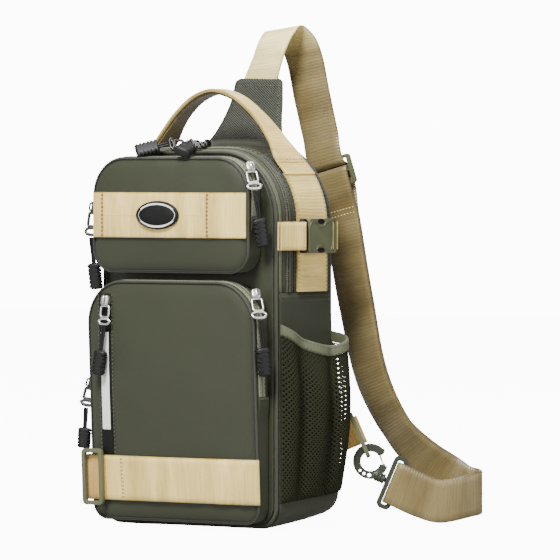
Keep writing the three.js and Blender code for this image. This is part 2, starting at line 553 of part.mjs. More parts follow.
// How far each layer stands off the strap's line, by the distance from the adjuster's middle bar
const ADJUSTER = { width: 47, height: 27, bar: 3, pitch: 12 };
const OUTER_WEAVE = [[-38, 0], [-15, 3.7], [-9.5, 3.5], [-1.5, -6.8], [3, -7], [9, -3.9], [15, -3.9],
  [38, 0]];
const INNER_WEAVE = [[0, 3.9], [15, 3.9], [38, LAYER]];
function weave(table, at) {
  const after = table.findIndex(([key]) => key >= at);
  if (after === 0) return table[0][1];
  if (after < 0) return table[table.length - 1][1];
  const [[k0, v0], [k1, v1]] = [table[after - 1], table[after]];
  return THREE.MathUtils.lerp(v0, v1, THREE.MathUtils.smoothstep(at, k0, k1));
}
const shifted = (i, offset) => ({ ...outerRows[i], at: outerRows[i].at.clone().addScaledVector(normals[i],
  offset) });
const last = outerRows.length - 1;
const toBar = (i) => along[last] - along[i];
const outerLayer = range(last + 1).map((i) => shifted(i, weave(OUTER_WEAVE, fromAdjuster(i))));
const APART = 2 * ROUND_STRAP_BAR; // between the layers at the bar
const innerOffset = (i) => Math.max(weave(INNER_WEAVE, fromAdjuster(i)),
  APART - (APART - LAYER) * Math.min(1, toBar(i) / 26));
const innerLayer = range(last).filter((i) => i > ADJUSTER_ROW && toBar(i) > 1).reverse()
  .map((i) => shifted(i, innerOffset(i)));
const barTurn = turns(strapBar, away, stem.clone().negate(), ROUND_STRAP_BAR, -150, -30, 3).map((at) => at);
const backTurn = turns(strapBar, away, stem, ROUND_STRAP_BAR, 180, 360, 6).slice(1);
const rollAt = outerRows[ADJUSTER_ROW];
const strapDown = outerRows[ADJUSTER_ROW + 1].at.clone().sub(outerRows[ADJUSTER_ROW - 1].at).normalize();
const roll = turns(rollAt.at, normals[ADJUSTER_ROW], strapDown, 3.8, 0, -180, 5);
const rowAt = (at, across) => ({ at, across, width: STRAP, thick: WEBBING });
add("shoulder_strap", ribbon([...outerLayer, ...backTurn.map((at) => rowAt(at, barUp)), ...innerLayer,
  ...roll.map((at) => rowAt(at, rollAt.across)), rowAt(roll[5].clone().addScaledVector(strapDown, 5),
    rollAt.across)]), COLOURS.tan);

// Adjuster with a middle bar, laid in the strap's plane
const windowAt = (y) => ({ x: 0, y, width: STRAP + 2, height: ADJUSTER.pitch - ADJUSTER.bar, radius: 1 });
const adjuster = add("strap_adjuster", plate(holed(roundedRect(ADJUSTER.width, ADJUSTER.height, 3),
  windowAt(ADJUSTER.pitch / 2), windowAt(-ADJUSTER.pitch / 2)), ADJUSTER.bar), COLOURS.plastic, 0.5);
const adjusterUp = strapDown.clone().negate();
const adjusterAcross = rollAt.across.clone().addScaledVector(adjusterUp,
  -rollAt.across.dot(adjusterUp)).normalize();
adjuster.quaternion.setFromRotationMatrix(new THREE.Matrix4().makeBasis(adjusterAcross, adjusterUp,
  adjusterAcross.clone().cross(adjusterUp)));
adjuster.position.copy(rollAt.at);

// Snap hook on a swivel base, with its wire gate, in a plane of its own
const hookPlane = new THREE.Group();
hookPlane.position.copy(SWIVEL);
hookPlane.quaternion.setFromRotationMatrix(new THREE.Matrix4().makeBasis(stem, barUp,
  away.clone().negate()));
bag.add(hookPlane);
const rod = (radius, length, sides = 10) => new THREE.CylinderGeometry(radius, radius, length, sides);
const POST = { radius: 2.4, length: 7.5 };
const BARREL = { radius: 4, bore: 2.8, from: -10, to: -1 };
const baseFrame = plate(ringShape(BASE.width, BASE.height, BASE.bar), BASE.thick)
  .translate(BASE.width / 2, 0, 0);
const post = rod(POST.radius, POST.length).rotateZ(Math.PI / 2).translate(1 - POST.length / 2, 0, 0);
add("swivel_base", fromManifold(toManifold(baseFrame).add(toManifold(post))), COLOURS.plastic, 0.5, 0,
  hookPlane);
const HOOK = { x: -18.5, y: 10, inner: 8.8, outer: 15.6, thick: 6, nose: radians(62), end: radians(365) };
const hookShape = new THREE.Shape();
hookShape.absarc(HOOK.x, HOOK.y, HOOK.outer, HOOK.nose, HOOK.end, false);
hookShape.absarc(HOOK.x, HOOK.y, HOOK.inner, HOOK.end, HOOK.nose, true);
const LIGHTENING = [{ degrees: 244, radius: 1.1 }, { degrees: 264, radius: 1.3 },
  { degrees: 287, radius: 1.7 }];
const HOOK_MIDDLE = (HOOK.inner + HOOK.outer) / 2;
for (const { degrees, radius } of LIGHTENING) {
  const hole = new THREE.Path();
  hole.absarc(HOOK.x + HOOK_MIDDLE * Math.cos(radians(degrees)),
    HOOK.y + HOOK_MIDDLE * Math.sin(radians(degrees)), radius, 0, 2 * Math.PI, true);
  hookShape.holes.push(hole);
}
const GATE = { radius: 0.8, length: 9.2, degrees: 134, eye: 1.7, eyeThick: 1.6, slot: 2.4 };
const pivot = V(HOOK.x + HOOK_MIDDLE * Math.cos(HOOK.end), HOOK.y + HOOK_MIDDLE * Math.sin(HOOK.end), 0);
const barrelLength = BARREL.to - BARREL.from;
const barrel = rod(BARREL.radius, barrelLength, 12).rotateZ(Math.PI / 2)
  .translate((BARREL.from + BARREL.to) / 2, 0, 0);
const bore = rod(BARREL.bore, POST.length, 12).rotateZ(Math.PI / 2)
  .translate(BARREL.to + 1 - POST.length / 2, 0, 0);
const gateSlot = new THREE.BoxGeometry(5, 5, GATE.slot).translate(pivot.x, pivot.y, 0);
const hookBody = toManifold(plate(hookShape, HOOK.thick, 10)).add(toManifold(barrel))
  .subtract(toManifold(bore)).subtract(toManifold(gateSlot));
add("snap_hook", fromManifold(hookBody), COLOURS.plastic, 0.5, 0, hookPlane);
const wire = rod(GATE.radius, GATE.length, 8).translate(0, GATE.length / 2, 0)
  .rotateZ(radians(GATE.degrees - 90)).translate(pivot.x, pivot.y, 0);
const eye = rod(GATE.eye, GATE.eyeThick, 12).rotateX(Math.PI / 2).translate(pivot.x, pivot.y, 0);
add("hook_gate", fromManifold(toManifold(wire).add(toManifold(eye))), COLOURS.steel, 0.3, 1, hookPlane);

// Ring that the hook is clipped in, and the webbing that sews it to the back edge
const HOOK_RING = { across: 123.8, up: 80, width: 42, depth: 24, bar: 3.6, loopUp: 4 };
const ringLong = rightward.clone().multiplyScalar(0.393).addScaledVector(UP, -0.9195);
const ringOut = rightward.clone().multiplyScalar(0.9195).addScaledVector(UP, 0.393);
const ringCentre = rightward.clone().multiplyScalar(HOOK_RING.across).addScaledVector(away, -33)
  .addScaledVector(UP, HOOK_RING.up);
const hookRing = add("hook_ring", plate(ringShape(HOOK_RING.width, HOOK_RING.depth, HOOK_RING.bar),
  HOOK_RING.bar), COLOURS.plastic, 0.5);
hookRing.quaternion.setFromRotationMatrix(new THREE.Matrix4().makeBasis(ringLong, away,
  ringLong.clone().cross(away)));
hookRing.position.copy(ringCentre);
const farBar = ringCentre.clone().addScaledVector(away, (HOOK_RING.depth - HOOK_RING.bar) / 2)
  .addScaledVector(ringLong, -HOOK_RING.loopUp);
const offBar = (out, back) => farBar.clone().addScaledVector(ringOut, out).addScaledVector(away, back);
const ringLoop = [offBar(-16, 3.2), offBar(-8, 3.3), ...turns(farBar, ringOut, away, ROUND_BAR, 90, -90, 6),
  offBar(-7, -1.6), offBar(-16, 0.9)];
add("ring_loop_rear", standing(ringLoop, ringLong, COMPRESSION, 1.3), COLOURS.gold);

// Zip pulls: a slider on the zip, a metal link and a grip on its cord. link and tip are the lower ends of
// the
// link and the grip, and face is the way that the pull's flat side looks.
const RIGHT_FRONT = V(0.75, -0.66, 0);
const LEFT_FRONT = V(-0.8, -0.6, 0);
const PULLS = [
  { name: "upper_right", slider: V(73.5, -53, 315.7), link: V(84.5, -61, 296), tip: V(88, -54, 246),
    face: RIGHT_FRONT },
  { name: "upper_left", slider: V(-98.5, -52.2, 280), link: V(-100, -57, 254), tip: V(-99, -56, 207),
    face: LEFT_FRONT },
  { name: "lower_right", slider: V(80.7, -55, 205.3), link: V(92, -64, 184), tip: V(92.5, -57, 134),
    face: RIGHT_FRONT },
  { name: "lower_left", slider: V(-102, -52.4, 124), link: V(-104.5, -57, 103), tip: V(-108, -56, 66),
    face: LEFT_FRONT },
  { name: "slit", slider: V(-71.5, -71.4, 198), link: V(-72, -73.4, 176), tip: V(-78.5, -73.4, 132),
    face: V(0, -1, 0) },
  { name: "main_left", slider: V(-14, ZIP_MIDDLE, 335.5), link: V(-25, -41, 336), tip: V(-46, -58, 331),
    face: UP },
  { name: "main_right", slider: V(4, ZIP_MIDDLE, 335.5), link: V(4, -43, 336), tip: V(9, -66, 330.5),
    face: UP },
];
const SLIDER = { length: 7, width: 6.4, thick: 4.2 };
const LINK = { head: 4.6, foot: 11, thick: 1.6, wire: 1.7 };
// Sections down a pull: cord first, then the grip that is moulded on it
const GRIP_SECTIONS = [
  { part: 0, width: 3, thick: 2.2 }, { part: 0.42, width: 3, thick: 2.2 },
    { part: 0.46, width: 8, thick: 4 },
  { part: 0.54, width: 12.4, thick: 5 }, { part: 0.94, width: 13, thick: 5 },
    { part: 1, width: 9, thick: 3.6 },
];
// An outline that widens from its head to its foot, with cut foot corners; its foot points along +y.
const wedge = (head, foot, length) => [[head / 2, -length / 2], [foot / 2, length / 2 - 3],
  [foot / 2 - 2.4, length / 2],
  [2.4 - foot / 2, length / 2], [-foot / 2, length / 2 - 3],
    [-head / 2, -length / 2]].map(([x, y]) => new THREE.Vector2(x, y));
for (const { name, slider, link, tip, face } of PULLS) {
  const down = link.clone().sub(slider);
  const length = down.length();
  down.normalize();
  const across = down.clone().cross(face).normalize();
  const placed = (mesh, centre, long) => {
    const wide = long.clone().cross(face).normalize();
    mesh.quaternion.setFromRotationMatrix(new THREE.Matrix4().makeBasis(wide, long,
      wide.clone().cross(long)));
    mesh.position.copy(centre);
  };
  const body = add(`slider_${name}`, plate(roundedRect(SLIDER.width, SLIDER.length, 2), SLIDER.thick, 2),
    COLOURS.steel, 0.3, 1);
  placed(body, slider, down);
  const linkLength = length - SLIDER.length / 2 - SEAT;
  const linkShape = new THREE.Shape(wedge(LINK.head, LINK.foot, linkLength));
  linkShape.holes.push(new THREE.Path(wedge(1.4, LINK.foot - 2 * LINK.wire,
    linkLength - 2 * LINK.wire).reverse()));
  const ring = add(`link_${name}`, plate(linkShape, LINK.thick, 3), COLOURS.steel, 0.3, 1);
  placed(ring, link.clone().addScaledVector(down, -linkLength / 2), down);
  const hang = tip.clone().sub(link);
  const start = link.clone().addScaledVector(hang.clone().normalize(), 2.4 * SEAT);
  const wide = hang.clone().normalize().cross(face).normalize();
  const thickness = hang.clone().normalize().cross(wide).normalize();
  const rings = GRIP_SECTIONS.map(({ part, width, thick }) => range(8).map((i) => {
    const angle = radians(22.5 + 45 * i);
    return start.clone().addScaledVector(hang, part * (1 - SEAT / hang.length()))
      .addScaledVector(wide, (Math.cos(angle) * width) / 2 / Math.cos(radians(22.5)))
      .addScaledVector(thickness, (Math.sin(angle) * thick) / 2 / Math.cos(radians(22.5)));
  }));
  add(`grip_${name}`, sweep(rings), COLOURS.black, 0.7);
}

export default bag;
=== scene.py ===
"""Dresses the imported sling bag: coated cloth, webbing, zips, net, moulded plastic and a plain studio."""
import math
import bmesh
import bpy
from bpy.props import FloatProperty, FloatVectorProperty, PointerProperty
from mathutils import Matrix, Vector, noise


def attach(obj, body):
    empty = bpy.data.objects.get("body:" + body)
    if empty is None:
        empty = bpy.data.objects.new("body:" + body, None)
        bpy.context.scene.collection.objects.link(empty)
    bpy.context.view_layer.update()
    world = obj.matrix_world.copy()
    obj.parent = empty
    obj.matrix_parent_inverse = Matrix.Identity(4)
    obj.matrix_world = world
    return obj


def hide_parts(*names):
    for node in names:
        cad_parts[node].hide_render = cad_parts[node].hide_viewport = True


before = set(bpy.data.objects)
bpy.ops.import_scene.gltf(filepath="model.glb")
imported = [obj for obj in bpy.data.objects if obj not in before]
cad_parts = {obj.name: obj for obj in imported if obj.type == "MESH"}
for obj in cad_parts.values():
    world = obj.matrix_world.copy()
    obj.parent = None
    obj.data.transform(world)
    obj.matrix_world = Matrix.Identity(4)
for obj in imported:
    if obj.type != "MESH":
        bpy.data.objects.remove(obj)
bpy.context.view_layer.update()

bl_info = {
    "name": "Sling bag",
    "version": (1, 0, 0),
    "blender": (4, 5, 0),
    "location": "View3D > Sidebar > Bag",
    "description": "Builds a sling bag piece by piece over its packed frame",
    "category": "Add Mesh",
}

# Sizes in millimetres from the middle of the base: X right of the front, Y to the back, Z up
HANG = Vector((28.2, 59, 436.6))
TO_ROW = Matrix.Scale(0.001, 4) @ Matrix.Translation(-HANG)
RIGHT, BACK, UP = Vector((1, 0, 0)), Vector((0, 1, 0)), Vector((0, 0, 1))
FRONT = Vector((0, -1, 0))
SEAT = 0.3
CLOTH = 2
PADDING = 4
PIPING = 1.6
WEBBING = 1.6
THIN_WEBBING = 1.2
FACE = 1.8
CROWN = 5.8
MAIN_FRONT, MAIN_REAR = -42, 42
MIDDLE = Vector((0, 0, 170))
UPPER = {"centre": -7.5, "half": 84.5, "bottom": 223.6, "top": 323.6, "r_top": 33, "r_bottom": 20,
         "depth": (21, 21), "zip": 3.9, "feet": (268, 262)}
LOWER = {"centre": -5.2, "half": 90.2, "bottom": 5, "top": 215, "r_top": 38, "r_bottom": 14,
         "depth": (16, 26), "zip": 4, "feet": (111, 108)}
BAND = 40
UPPER_BAND_AT, LOWER_BAND_AT = 273.5, 41.5
LOWER_WAVES = ((86.6, -1.6), (85.4, 0.7), (82, 1.5), (74, 3.1), (63, 1.7), (50, 2.9), (35, 1.6), (16, 2.2),
               (0, 1.6), (-22, 2.1), (-42, 1.5), (-55, 2), (-66, 1.5), (-78, 1.5))
ZIP_FOOT, ARCH_HEAD = 206, 262
ZIP_FROM, ZIP_TO = -33.5, -17
ZIP_MIDDLE = (ZIP_FROM + ZIP_TO) / 2
SIDE_WEB = (-14, 31)
COMPRESSION = 25
STRAP = 38
HEM = 9.6
NET_SIZE = (98, 138)
NET_REAR = 0.37
PANEL_INSET = 2 * PIPING + SEAT + 0.9
GUSSET = (MAIN_FRONT + 2 * PIPING + 2 * SEAT, MAIN_REAR - PADDING - 2 * SEAT)
POCKET_REAR = MAIN_FRONT - SEAT
BASE_WIDTH, BASE_BAR, BASE_THICK = 13, 4, 5
VIEW_TURN = math.radians(36)
HOOK_LEAN = math.radians(22.7)
RIGHTWARD = Vector((math.cos(VIEW_TURN), math.sin(VIEW_TURN), 0))
AWAY = Vector((-math.sin(VIEW_TURN), math.cos(VIEW_TURN), 0))
STEM = RIGHTWARD * math.cos(HOOK_LEAN) - UP * math.sin(HOOK_LEAN)
BAR_UP = RIGHTWARD * math.sin(HOOK_LEAN) + UP * math.cos(HOOK_LEAN)
SWIVEL = RIGHTWARD * 146.8 - AWAY * 33 + UP * 40.6


def srgb(red, green, blue):
    """A colour given in screen values, as the linear values that a shader takes."""
    def linear(value):
        value /= 255
        return value / 12.92 if value < 0.04045 else ((value + 0.055) / 1.055) ** 2.4
    return (linear(red), linear(green), linear(blue))


def length_prop(name, description, millimetres):
    return FloatProperty(name=name, description=description, default=millimetres / 1000, unit="LENGTH",
                         precision=4)


def colour_prop(name, description, *screen):
    return FloatVectorProperty(name=name, description=description, default=srgb(*screen), size=3,
                               subtype="COLOR", min=0, max=1)


class BagSizes(bpy.types.PropertyGroup):
    rib: length_prop("Webbing rib", "Pitch of the ribs across the webbing", 2.8)
    tooth: length_prop("Zip tooth", "Pitch of the zip teeth", 1.7)
    stitch: length_prop("Stitch", "Length of one stitch", 2.3)
    stitch_gap: length_prop("Stitch gap", "Gap between two stitches", 1.2)
    net: length_prop("Net hole", "Pitch of the side pocket's net", 2.8)
    strand: length_prop("Net strand", "Width left between two holes of the net", 1.3)
    edge_roll: length_prop("Edge roll", "How far a pocket face rolls back at its edge", 2.5)
    ripple: length_prop("Ripple", "Height of the soft ripples in the cloth", 0.45)


class BagColours(bpy.types.PropertyGroup):
    cloth: colour_prop("Cloth", "Coated cloth of the body and pockets", 45, 48, 31)
    light_cloth: colour_prop("Light cloth", "Main zip strip and net binding", 80, 84, 56)
    zip_strip: colour_prop("Zip strip", "Strips beside the pocket zips", 122, 124, 96)
    zip_tape: colour_prop("Zip tape", "Tape beside the zip teeth", 44, 46, 31)
    webbing: colour_prop("Webbing", "Tan webbing", 238, 209, 124)
    # Lit and shaded copies of the tan webbing: painted light and painted shade
    painted_light_webbing: colour_prop("Lit webbing", "Webbing of the strap's short front leg", 250, 232, 162)
    painted_shade_webbing: colour_prop("Shaded webbing", "Webbing of the strap's long leg", 118, 103, 63)
    # Darker copy of the tan webbing where it turns round the rings: painted shade
    ring_shade: colour_prop("Gold webbing", "Webbing round the rings", 204, 164, 88)
    thread: colour_prop("Thread", "Stitching on the webbing", 138, 104, 58)
    plastic: colour_prop("Plastic", "Moulded buckles and rings", 88, 91, 65)
    rubber: colour_prop("Rubber", "Grips and cords of the zip pulls", 23, 23, 23)
    dark_metal: colour_prop("Dark metal", "Sliders and links of the main zip and the left pulls", 74, 74, 72)
    metal: colour_prop("Metal", "Other sliders and links, and the gate", 214, 213, 209)
    net: colour_prop("Net", "Side pocket's net", 32, 33, 15)
    twill: colour_prop("Twill", "Shoulder tab", 46, 48, 34)
    backing: colour_prop("Back", "Padded back panel", 62, 56, 62)
    black: colour_prop("Black", "Slit tape and badge", 12, 12, 12)
    hook: colour_prop("Hook plastic", "Snap hook and its base", 50, 54, 43)
    piping: colour_prop("Piping", "Corded edges of the pockets and the body", 46, 48, 33)
    white: colour_prop("White", "Bare strip and badge ring", 232, 232, 228)


def lerp(a, b, t):
    return a + (b - a) * t


def smoothstep(x, low, high):
    t = min(max((x - low) / (high - low), 0), 1)
    return t * t * (3 - 2 * t)


def steps(first, last, count):
    return [first + (last - first) * i / count for i in range(count + 1)]


def hermite(start, leave, end, arrive, t):
    """A smooth value between two ends with the slopes given there."""
    return (start * (2 * t**3 - 3 * t**2 + 1) + leave * (t**3 - 2 * t**2 + t)
            + end * (3 * t**2 - 2 * t**3) + arrive * (t**3 - t**2))


def between(table, x):
    """A smooth value at x through the rows (x, value) of a table."""
    keys = [row[0] for row in table]
    values = [row[1] for row in table]
    if x <= keys[0]:
        return values[0]
    if x >= keys[-1]:
        return values[-1]
    i = max(k for k in range(len(keys) - 1) if keys[k] <= x)

    def slope(k):
        a, b = max(k - 1, 0), min(k + 1, len(keys) - 1)
        return (values[b] - values[a]) / (keys[b] - keys[a])
    span = keys[i + 1] - keys[i]
    return hermite(values[i], span * slope(i), values[i + 1], span * slope(i + 1), (x - keys[i]) / span)


def ripple(point, size, height):
    return noise.noise(Vector(point) / size) * height


# Outlines with round corners
def main_at(y):
    """The body's outline at a depth. It grows to the back, with a fuller foot."""
    back = (y - MAIN_FRONT) / (MAIN_REAR - MAIN_FRONT)
    return {"centre": -2, "half": 96, "r_bottom": 20, "belly": 8 * max(back, 0), "r_top": lerp(60, 76, back),
            "top": lerp(330, 341, back), "bottom": 11 * max(back, 0) ** 1.5}


def edge(outline, inset, spot):
    """The point (x, z) at a spot (hand, kind, value): a height on a side, or degrees on a corner."""
    hand, kind, value = spot
    full = {"side": smoothstep(190 - value, 0, 120), "upper": 0, "lower": 1}[kind]
    half = outline["half"] - inset + outline.get("belly", 0) * full
    if kind == "side":
        return outline["centre"] + hand * half, value
    radius = outline["r_top" if kind == "upper" else "r_bottom"] - inset
    angle = math.radians(value)
    x = outline["centre"] + hand * (half - radius + radius * math.cos(angle))
    drop = radius - radius * math.sin(angle)
    return x, outline["top"] - inset - drop if kind == "upper" else outline["bottom"] + inset + drop


CORNER = steps(0, 90, 12)


def corner(hand, kind, rising=True):
    return [(hand, kind, a) for a in (CORNER if rising else CORNER[::-1])]


def sides(hand, first, last, count):
    return [(hand, "side", z) for z in steps(first, last, count)]


def arch(right_foot, left_foot, head=ARCH_HEAD, count=8):
    return (sides(1, right_foot, head, count)[:-1] + corner(1, "upper")
            + [(h / 2, "upper", 90) for h in (1, 0, -1)]
            + corner(-1, "upper", False) + sides(-1, head, left_foot, count)[1:])


def loop(low, high, count=14):
    quarters = (3, 2, 1, 0, -1, -2, -3)
    return (corner(1, "upper") + [(h / 4, "upper", 90) for h in quarters]
            + corner(-1, "upper", False) + sides(-1, high, low, count)[1:-1]
            + corner(-1, "lower") + [(-h / 4, "lower", 90) for h in quarters]
            + corner(1, "lower", False) + sides(1, low, high, count)[1:-1])


def depth_in(outline, x, z):
    """How far inside an outline a point lies."""
    middle = (outline["top"] + outline["bottom"]) / 2
    radius = outline["r_top"] if z > middle else outline["r_bottom"]
    dx = abs(x - outline["centre"]) - outline["half"] + radius
    dz = abs(z - middle) - (outline["top"] - outline["bottom"]) / 2 + radius
    return radius - math.hypot(max(dx, 0), max(dz, 0)) - min(max(dx, dz), 0)


def pocket_front(pocket, z):
    share = (z - pocket["bottom"]) / (pocket["top"] - pocket["bottom"])
    return MAIN_FRONT - lerp(*pocket["depth"], share)


def pocket_rim(pocket, z):
    return pocket_front(pocket, z) + FACE + SEAT


def pocket_face(pocket, x, z):
    """The depth of a pocket's bulging face."""
    u = (x - pocket["centre"]) / pocket["half"]
    v = (2 * z - pocket["top"] - pocket["bottom"]) / (pocket["top"] - pocket["bottom"])
    return pocket_front(pocket, z) - CROWN * max(0, 1 - u * u) * max(0, 1 - v * v)


def upper_face(x, z):
    return pocket_face(UPPER, x, z)


def lower_face(x, z):
    return pocket_face(LOWER, x, z)


# Shapes made by extruding a row of points
def extrude_rows(bm, rows, round_rows=False, ring=False):
    """Extrudes the first row through the others. Round rows close, and a ring joins last to first."""
    line = [bm.verts.new(p) for p in rows[0]]
    pairs = list(range(len(line) if round_rows else len(line) - 1))
    edges = [bm.edges.new((line[i], line[(i + 1) % len(line)])) for i in pairs]
    first_edges = edges
    lines = [line]
    for row in rows[1:]:
        made = bmesh.ops.extrude_edge_only(bm, edges=edges)["geom"]
        fresh = {v for v in made if isinstance(v, bmesh.types.BMVert)}
        line = [next(e.other_vert(v) for e in v.link_edges if e.other_vert(v) in fresh) for v in line]
        for v, p in zip(line, row):
            v.co = p
        edges = [bm.edges.get((line[i], line[(i + 1) % len(line)])) for i in pairs]
        lines.append(line)
    if ring:
        bmesh.ops.bridge_loops(bm, edges=first_edges + edges)
    return lines


def cap(bm):
    """Closes the open ends of a mesh."""
    ends = [e for e in bm.edges if e.is_boundary]
    bmesh.ops.holes_fill(bm, edges=ends, sides=0)


def extrude_rings(bm, rings):
    """Extrudes round rows into a shape with closed ends."""
    extrude_rows(bm, rings, round_rows=True)
    cap(bm)


def lay_uv(bm, lines, across, along):
    """Gives the points of a row their distance across and each row its distance along, in metres."""
    layers = bm.loops.layers.uv
    for name in ("Weave", "Border"):
        if name not in layers:
            layers.new(name)
    weave, border = layers["Weave"], layers["Border"]
    spots = {}
    half = max(abs(u) for u in across)
    for line, v in zip(lines, along):
        for vert, u in zip(line, across):
            spots[vert] = (u / 1000, v / 1000), (u / half, 0)
    for face in bm.faces:
        for corner_loop in face.loops:
            if corner_loop.vert in spots:
                corner_loop[weave].uv, corner_loop[border].uv = spots[corner_loop.vert]


def run_lengths(points):
    total = [0]
    for a, b in zip(points, points[1:]):
        total.append(total[-1] + (b - a).length)
    return total


def turn_outward(bm, toward, away_from):
    score = 0
    for face in bm.faces:
        wanted = toward if toward is not None else face.calc_center_median() - away_from
        score += face.normal.dot(wanted) * face.calc_area()
    if score < 0:
        bmesh.ops.reverse_faces(bm, faces=bm.faces)


SLOTS = {
    "cloth": "coated_cloth", "seam": "coated_cloth", "light_cloth": "light_cloth", "piping": "light_cloth",
    "zip_strip": "zip_tape", "zip_tape": "zip_tape", "teeth": "zip_tape", "shadow": "zip_tape",
    "dark_edge": "dark_edge", "net": "air_mesh", "backing": "back_padding", "twill": "twill",
    "tan": "tan_webbing", "strap": "tan_webbing", "thread": "tan_webbing", "pale_thread": "tan_webbing",
    "ring_shade": "gold_webbing", "black": "black_tape", "white": "white_strip", "plastic": "olive_plastic",
    "hook": "olive_plastic", "metal": "metal", "dark_metal": "metal", "rubber": "grip_rubber",
}


def piece(bm, name, finish, nodes=(), slot=None, body="bag", wall=0, bevel=0, smooth=40, toward=None,
          away_from=None, more=()):
    """Puts a finished mesh in the shared frame as one object on a body, in place of its CAD nodes."""
    bmesh.ops.recalc_face_normals(bm, faces=bm.faces)
    if toward is not None or away_from is not None:
        turn_outward(bm, toward, away_from)
    bm.transform(TO_ROW)
    mesh = bpy.data.meshes.new(name)
    bm.to_mesh(mesh)
    bm.free()
    for polygon in mesh.polygons:
        polygon.use_smooth = True
    mesh.set_sharp_from_angle(angle=math.radians(smooth))
    look = finishes()
    for one in (finish, *more):
        mesh.materials.append(look[one])
    obj = bpy.data.objects.new(name, mesh)
    bpy.context.scene.collection.objects.link(obj)
    if wall:
        solid = obj.modifiers.new("Wall", "SOLIDIFY")
        solid.thickness = wall / 1000
        solid.offset = -1
        solid.use_even_offset = True
    if bevel:
        soft = obj.modifiers.new("Edge", "BEVEL")
        soft.width = bevel / 1000
        soft.segments = 2
        soft.limit_method = "ANGLE"
        soft.angle_limit = math.radians(45)
        soft.harden_normals = False
    if nodes:
        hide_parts(*nodes)
    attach(obj, body)
    slot = slot or SLOTS[finish]
    return obj


def sheet(name, finish, rows, nodes=(), ring=False, woven=False, **rest):
    """A piece through open rows. A woven one gets the layers that the webbing's look needs."""
    bm = bmesh.new()
    lines = extrude_rows(bm, rows, ring=ring)
    if woven:
        across = run_lengths(rows[0])
        lay_uv(bm, lines, [u - across[-1] / 2 for u in across], run_lengths([row[0] for row in rows]))
    return piece(bm, name, finish, nodes, **rest)


def tube_rings(path, radius, count, closed=False, flat=1, face=UP, swell=None):
    """Rings of points round a path; flat squeezes them along face."""
    rings = []
    last = len(path) - 1
    for i, at in enumerate(path):
        ahead = path[(i + 1) % len(path)] if closed else path[min(i + 1, last)]
        behind = path[i - 1] if closed else path[max(i - 1, 0)]
        tangent = (ahead - behind).normalized()
        guide = face
        if abs(tangent.dot(guide)) > 0.97:
            guide = RIGHT if abs(tangent.x) < 0.9 else BACK
        wide = tangent.cross(guide).normalized()
        thin = wide.cross(tangent).normalized()
        size = radius * (swell(i) if swell else 1)
        angles = [2 * math.pi * k / count for k in range(count)]
        rings.append([at + wide * (size * math.cos(a)) + thin * (size * flat * math.sin(a)) for a in angles])
    return rings


def tube(bm, path, radius, count=8, closed=False, **shape):
    extrude_rows(bm, tube_rings(path, radius, count, closed, **shape), round_rows=True, ring=closed)
    if not closed:
        cap(bm)


def tubes(name, finish, paths, radius, count, closed=False, face=UP, **rest):
    """A piece of round cords along paths."""
    bm = bmesh.new()
    for path in paths:
        tube(bm, path, radius, count, closed, face=face)
    piece(bm, name, finish, **rest)


def resample(path, pitch):
    """Points an even pitch apart along a path."""
    total = run_lengths(path)
    count = max(2, round(total[-1] / pitch))
    out, k = [], 0
    for i in range(count + 1):
        want = total[-1] * i / count
        while k < len(path) - 2 and total[k + 1] < want:
            k += 1
        span = max(total[k + 1] - total[k], 1e-9)
        out.append(path[k].lerp(path[k + 1], min(max((want - total[k]) / span, 0), 1)))
    return out


def catmull(points, count, closed=False):
    """A smooth path through a few points, with centripetal spacing and an even parameter over their spans."""
    last = len(points) if closed else len(points) - 1

    def at(i):
        if closed:
            return points[i % len(points)]
        if i < 0:
            return points[0] * 2 - points[1]
        if i > len(points) - 1:
            return points[-1] * 2 - points[-2]
        return points[i]
    out = []
    for k in range(count + (0 if closed else 1)):
        u = last * k / count
        i = min(int(u), last - 1)
        p = [at(i - 1), at(i), at(i + 1), at(i + 2)]
        d = [max((p[j + 1] - p[j]).length ** 0.5, 1e-4) for j in range(3)]

        def slope(j):
            return ((p[j] - p[j - 1]) / d[j - 1] - (p[j + 1] - p[j - 1]) / (d[j - 1] + d[j])
                    + (p[j + 1] - p[j]) / d[j]) * d[1]
        out.append(hermite(p[1], slope(1), p[2], slope(2), u - i))
    return out


def turns(centre, one, two, radius, first, last, count):
    angles = [math.radians(a) for a in steps(first, last, count)]
    return [centre + one * (radius * math.cos(a)) + two * (radius * math.sin(a)) for a in angles]


# Webbing
def webbing(bm, rows, columns=6):
    """A webbing with rounded edges through rows of (middle, direction across, width, thickness)."""
    offsets = [-0.5, *[t * 0.485 for t in steps(-1, 1, columns)], 0.5]
    rings, middles = [], [row[0] for row in rows]
    for i, (at, across, width, thick) in enumerate(rows):
        ahead, behind = middles[min(i + 1, len(rows) - 1)], middles[max(i - 1, 0)]
        rise = (ahead - behind).cross(across).normalized() * (thick / 2)
        top = [at + across * (o * width) + rise * (1 if abs(o) < 0.5 else 0) for o in offsets]
        under = [at + across * (o * width) - rise for o in offsets[-2:0:-1]]
        rings.append(top + under)
    lines = extrude_rows(bm, rings, round_rows=True)
    width = rows[0][2]
    lay_uv(bm, lines, [o * width for o in offsets + offsets[-2:0:-1]], run_lengths(middles))
    cap(bm)


def web(name, finish, rows, node_name, columns=6):
    """A piece of webbing that stands for one CAD node."""
    bm = bmesh.new()
    webbing(bm, rows, columns)
    piece(bm, name, finish, [node_name], smooth=60)


def smooth_rows(rows, count):
    path = catmull([row[0] for row in rows], count)
    out = []
    for k, at in enumerate(path):
        u = (len(rows) - 1) * k / count
        i = min(int(u), len(rows) - 2)
        a, b, t = rows[i], rows[i + 1], u - i
        out.append((at, a[1].lerp(b[1], t).normalized(), lerp(a[2], b[2], t), lerp(a[3], b[3], t)))
    return out


def standing(points, across, width, thick, count):
    return smooth_rows([(p, across, width, thick) for p in points], count)


# Rows of points along the bag, and stitches
THREADS = {"cloth": [], "webbing": [], "faint": []}


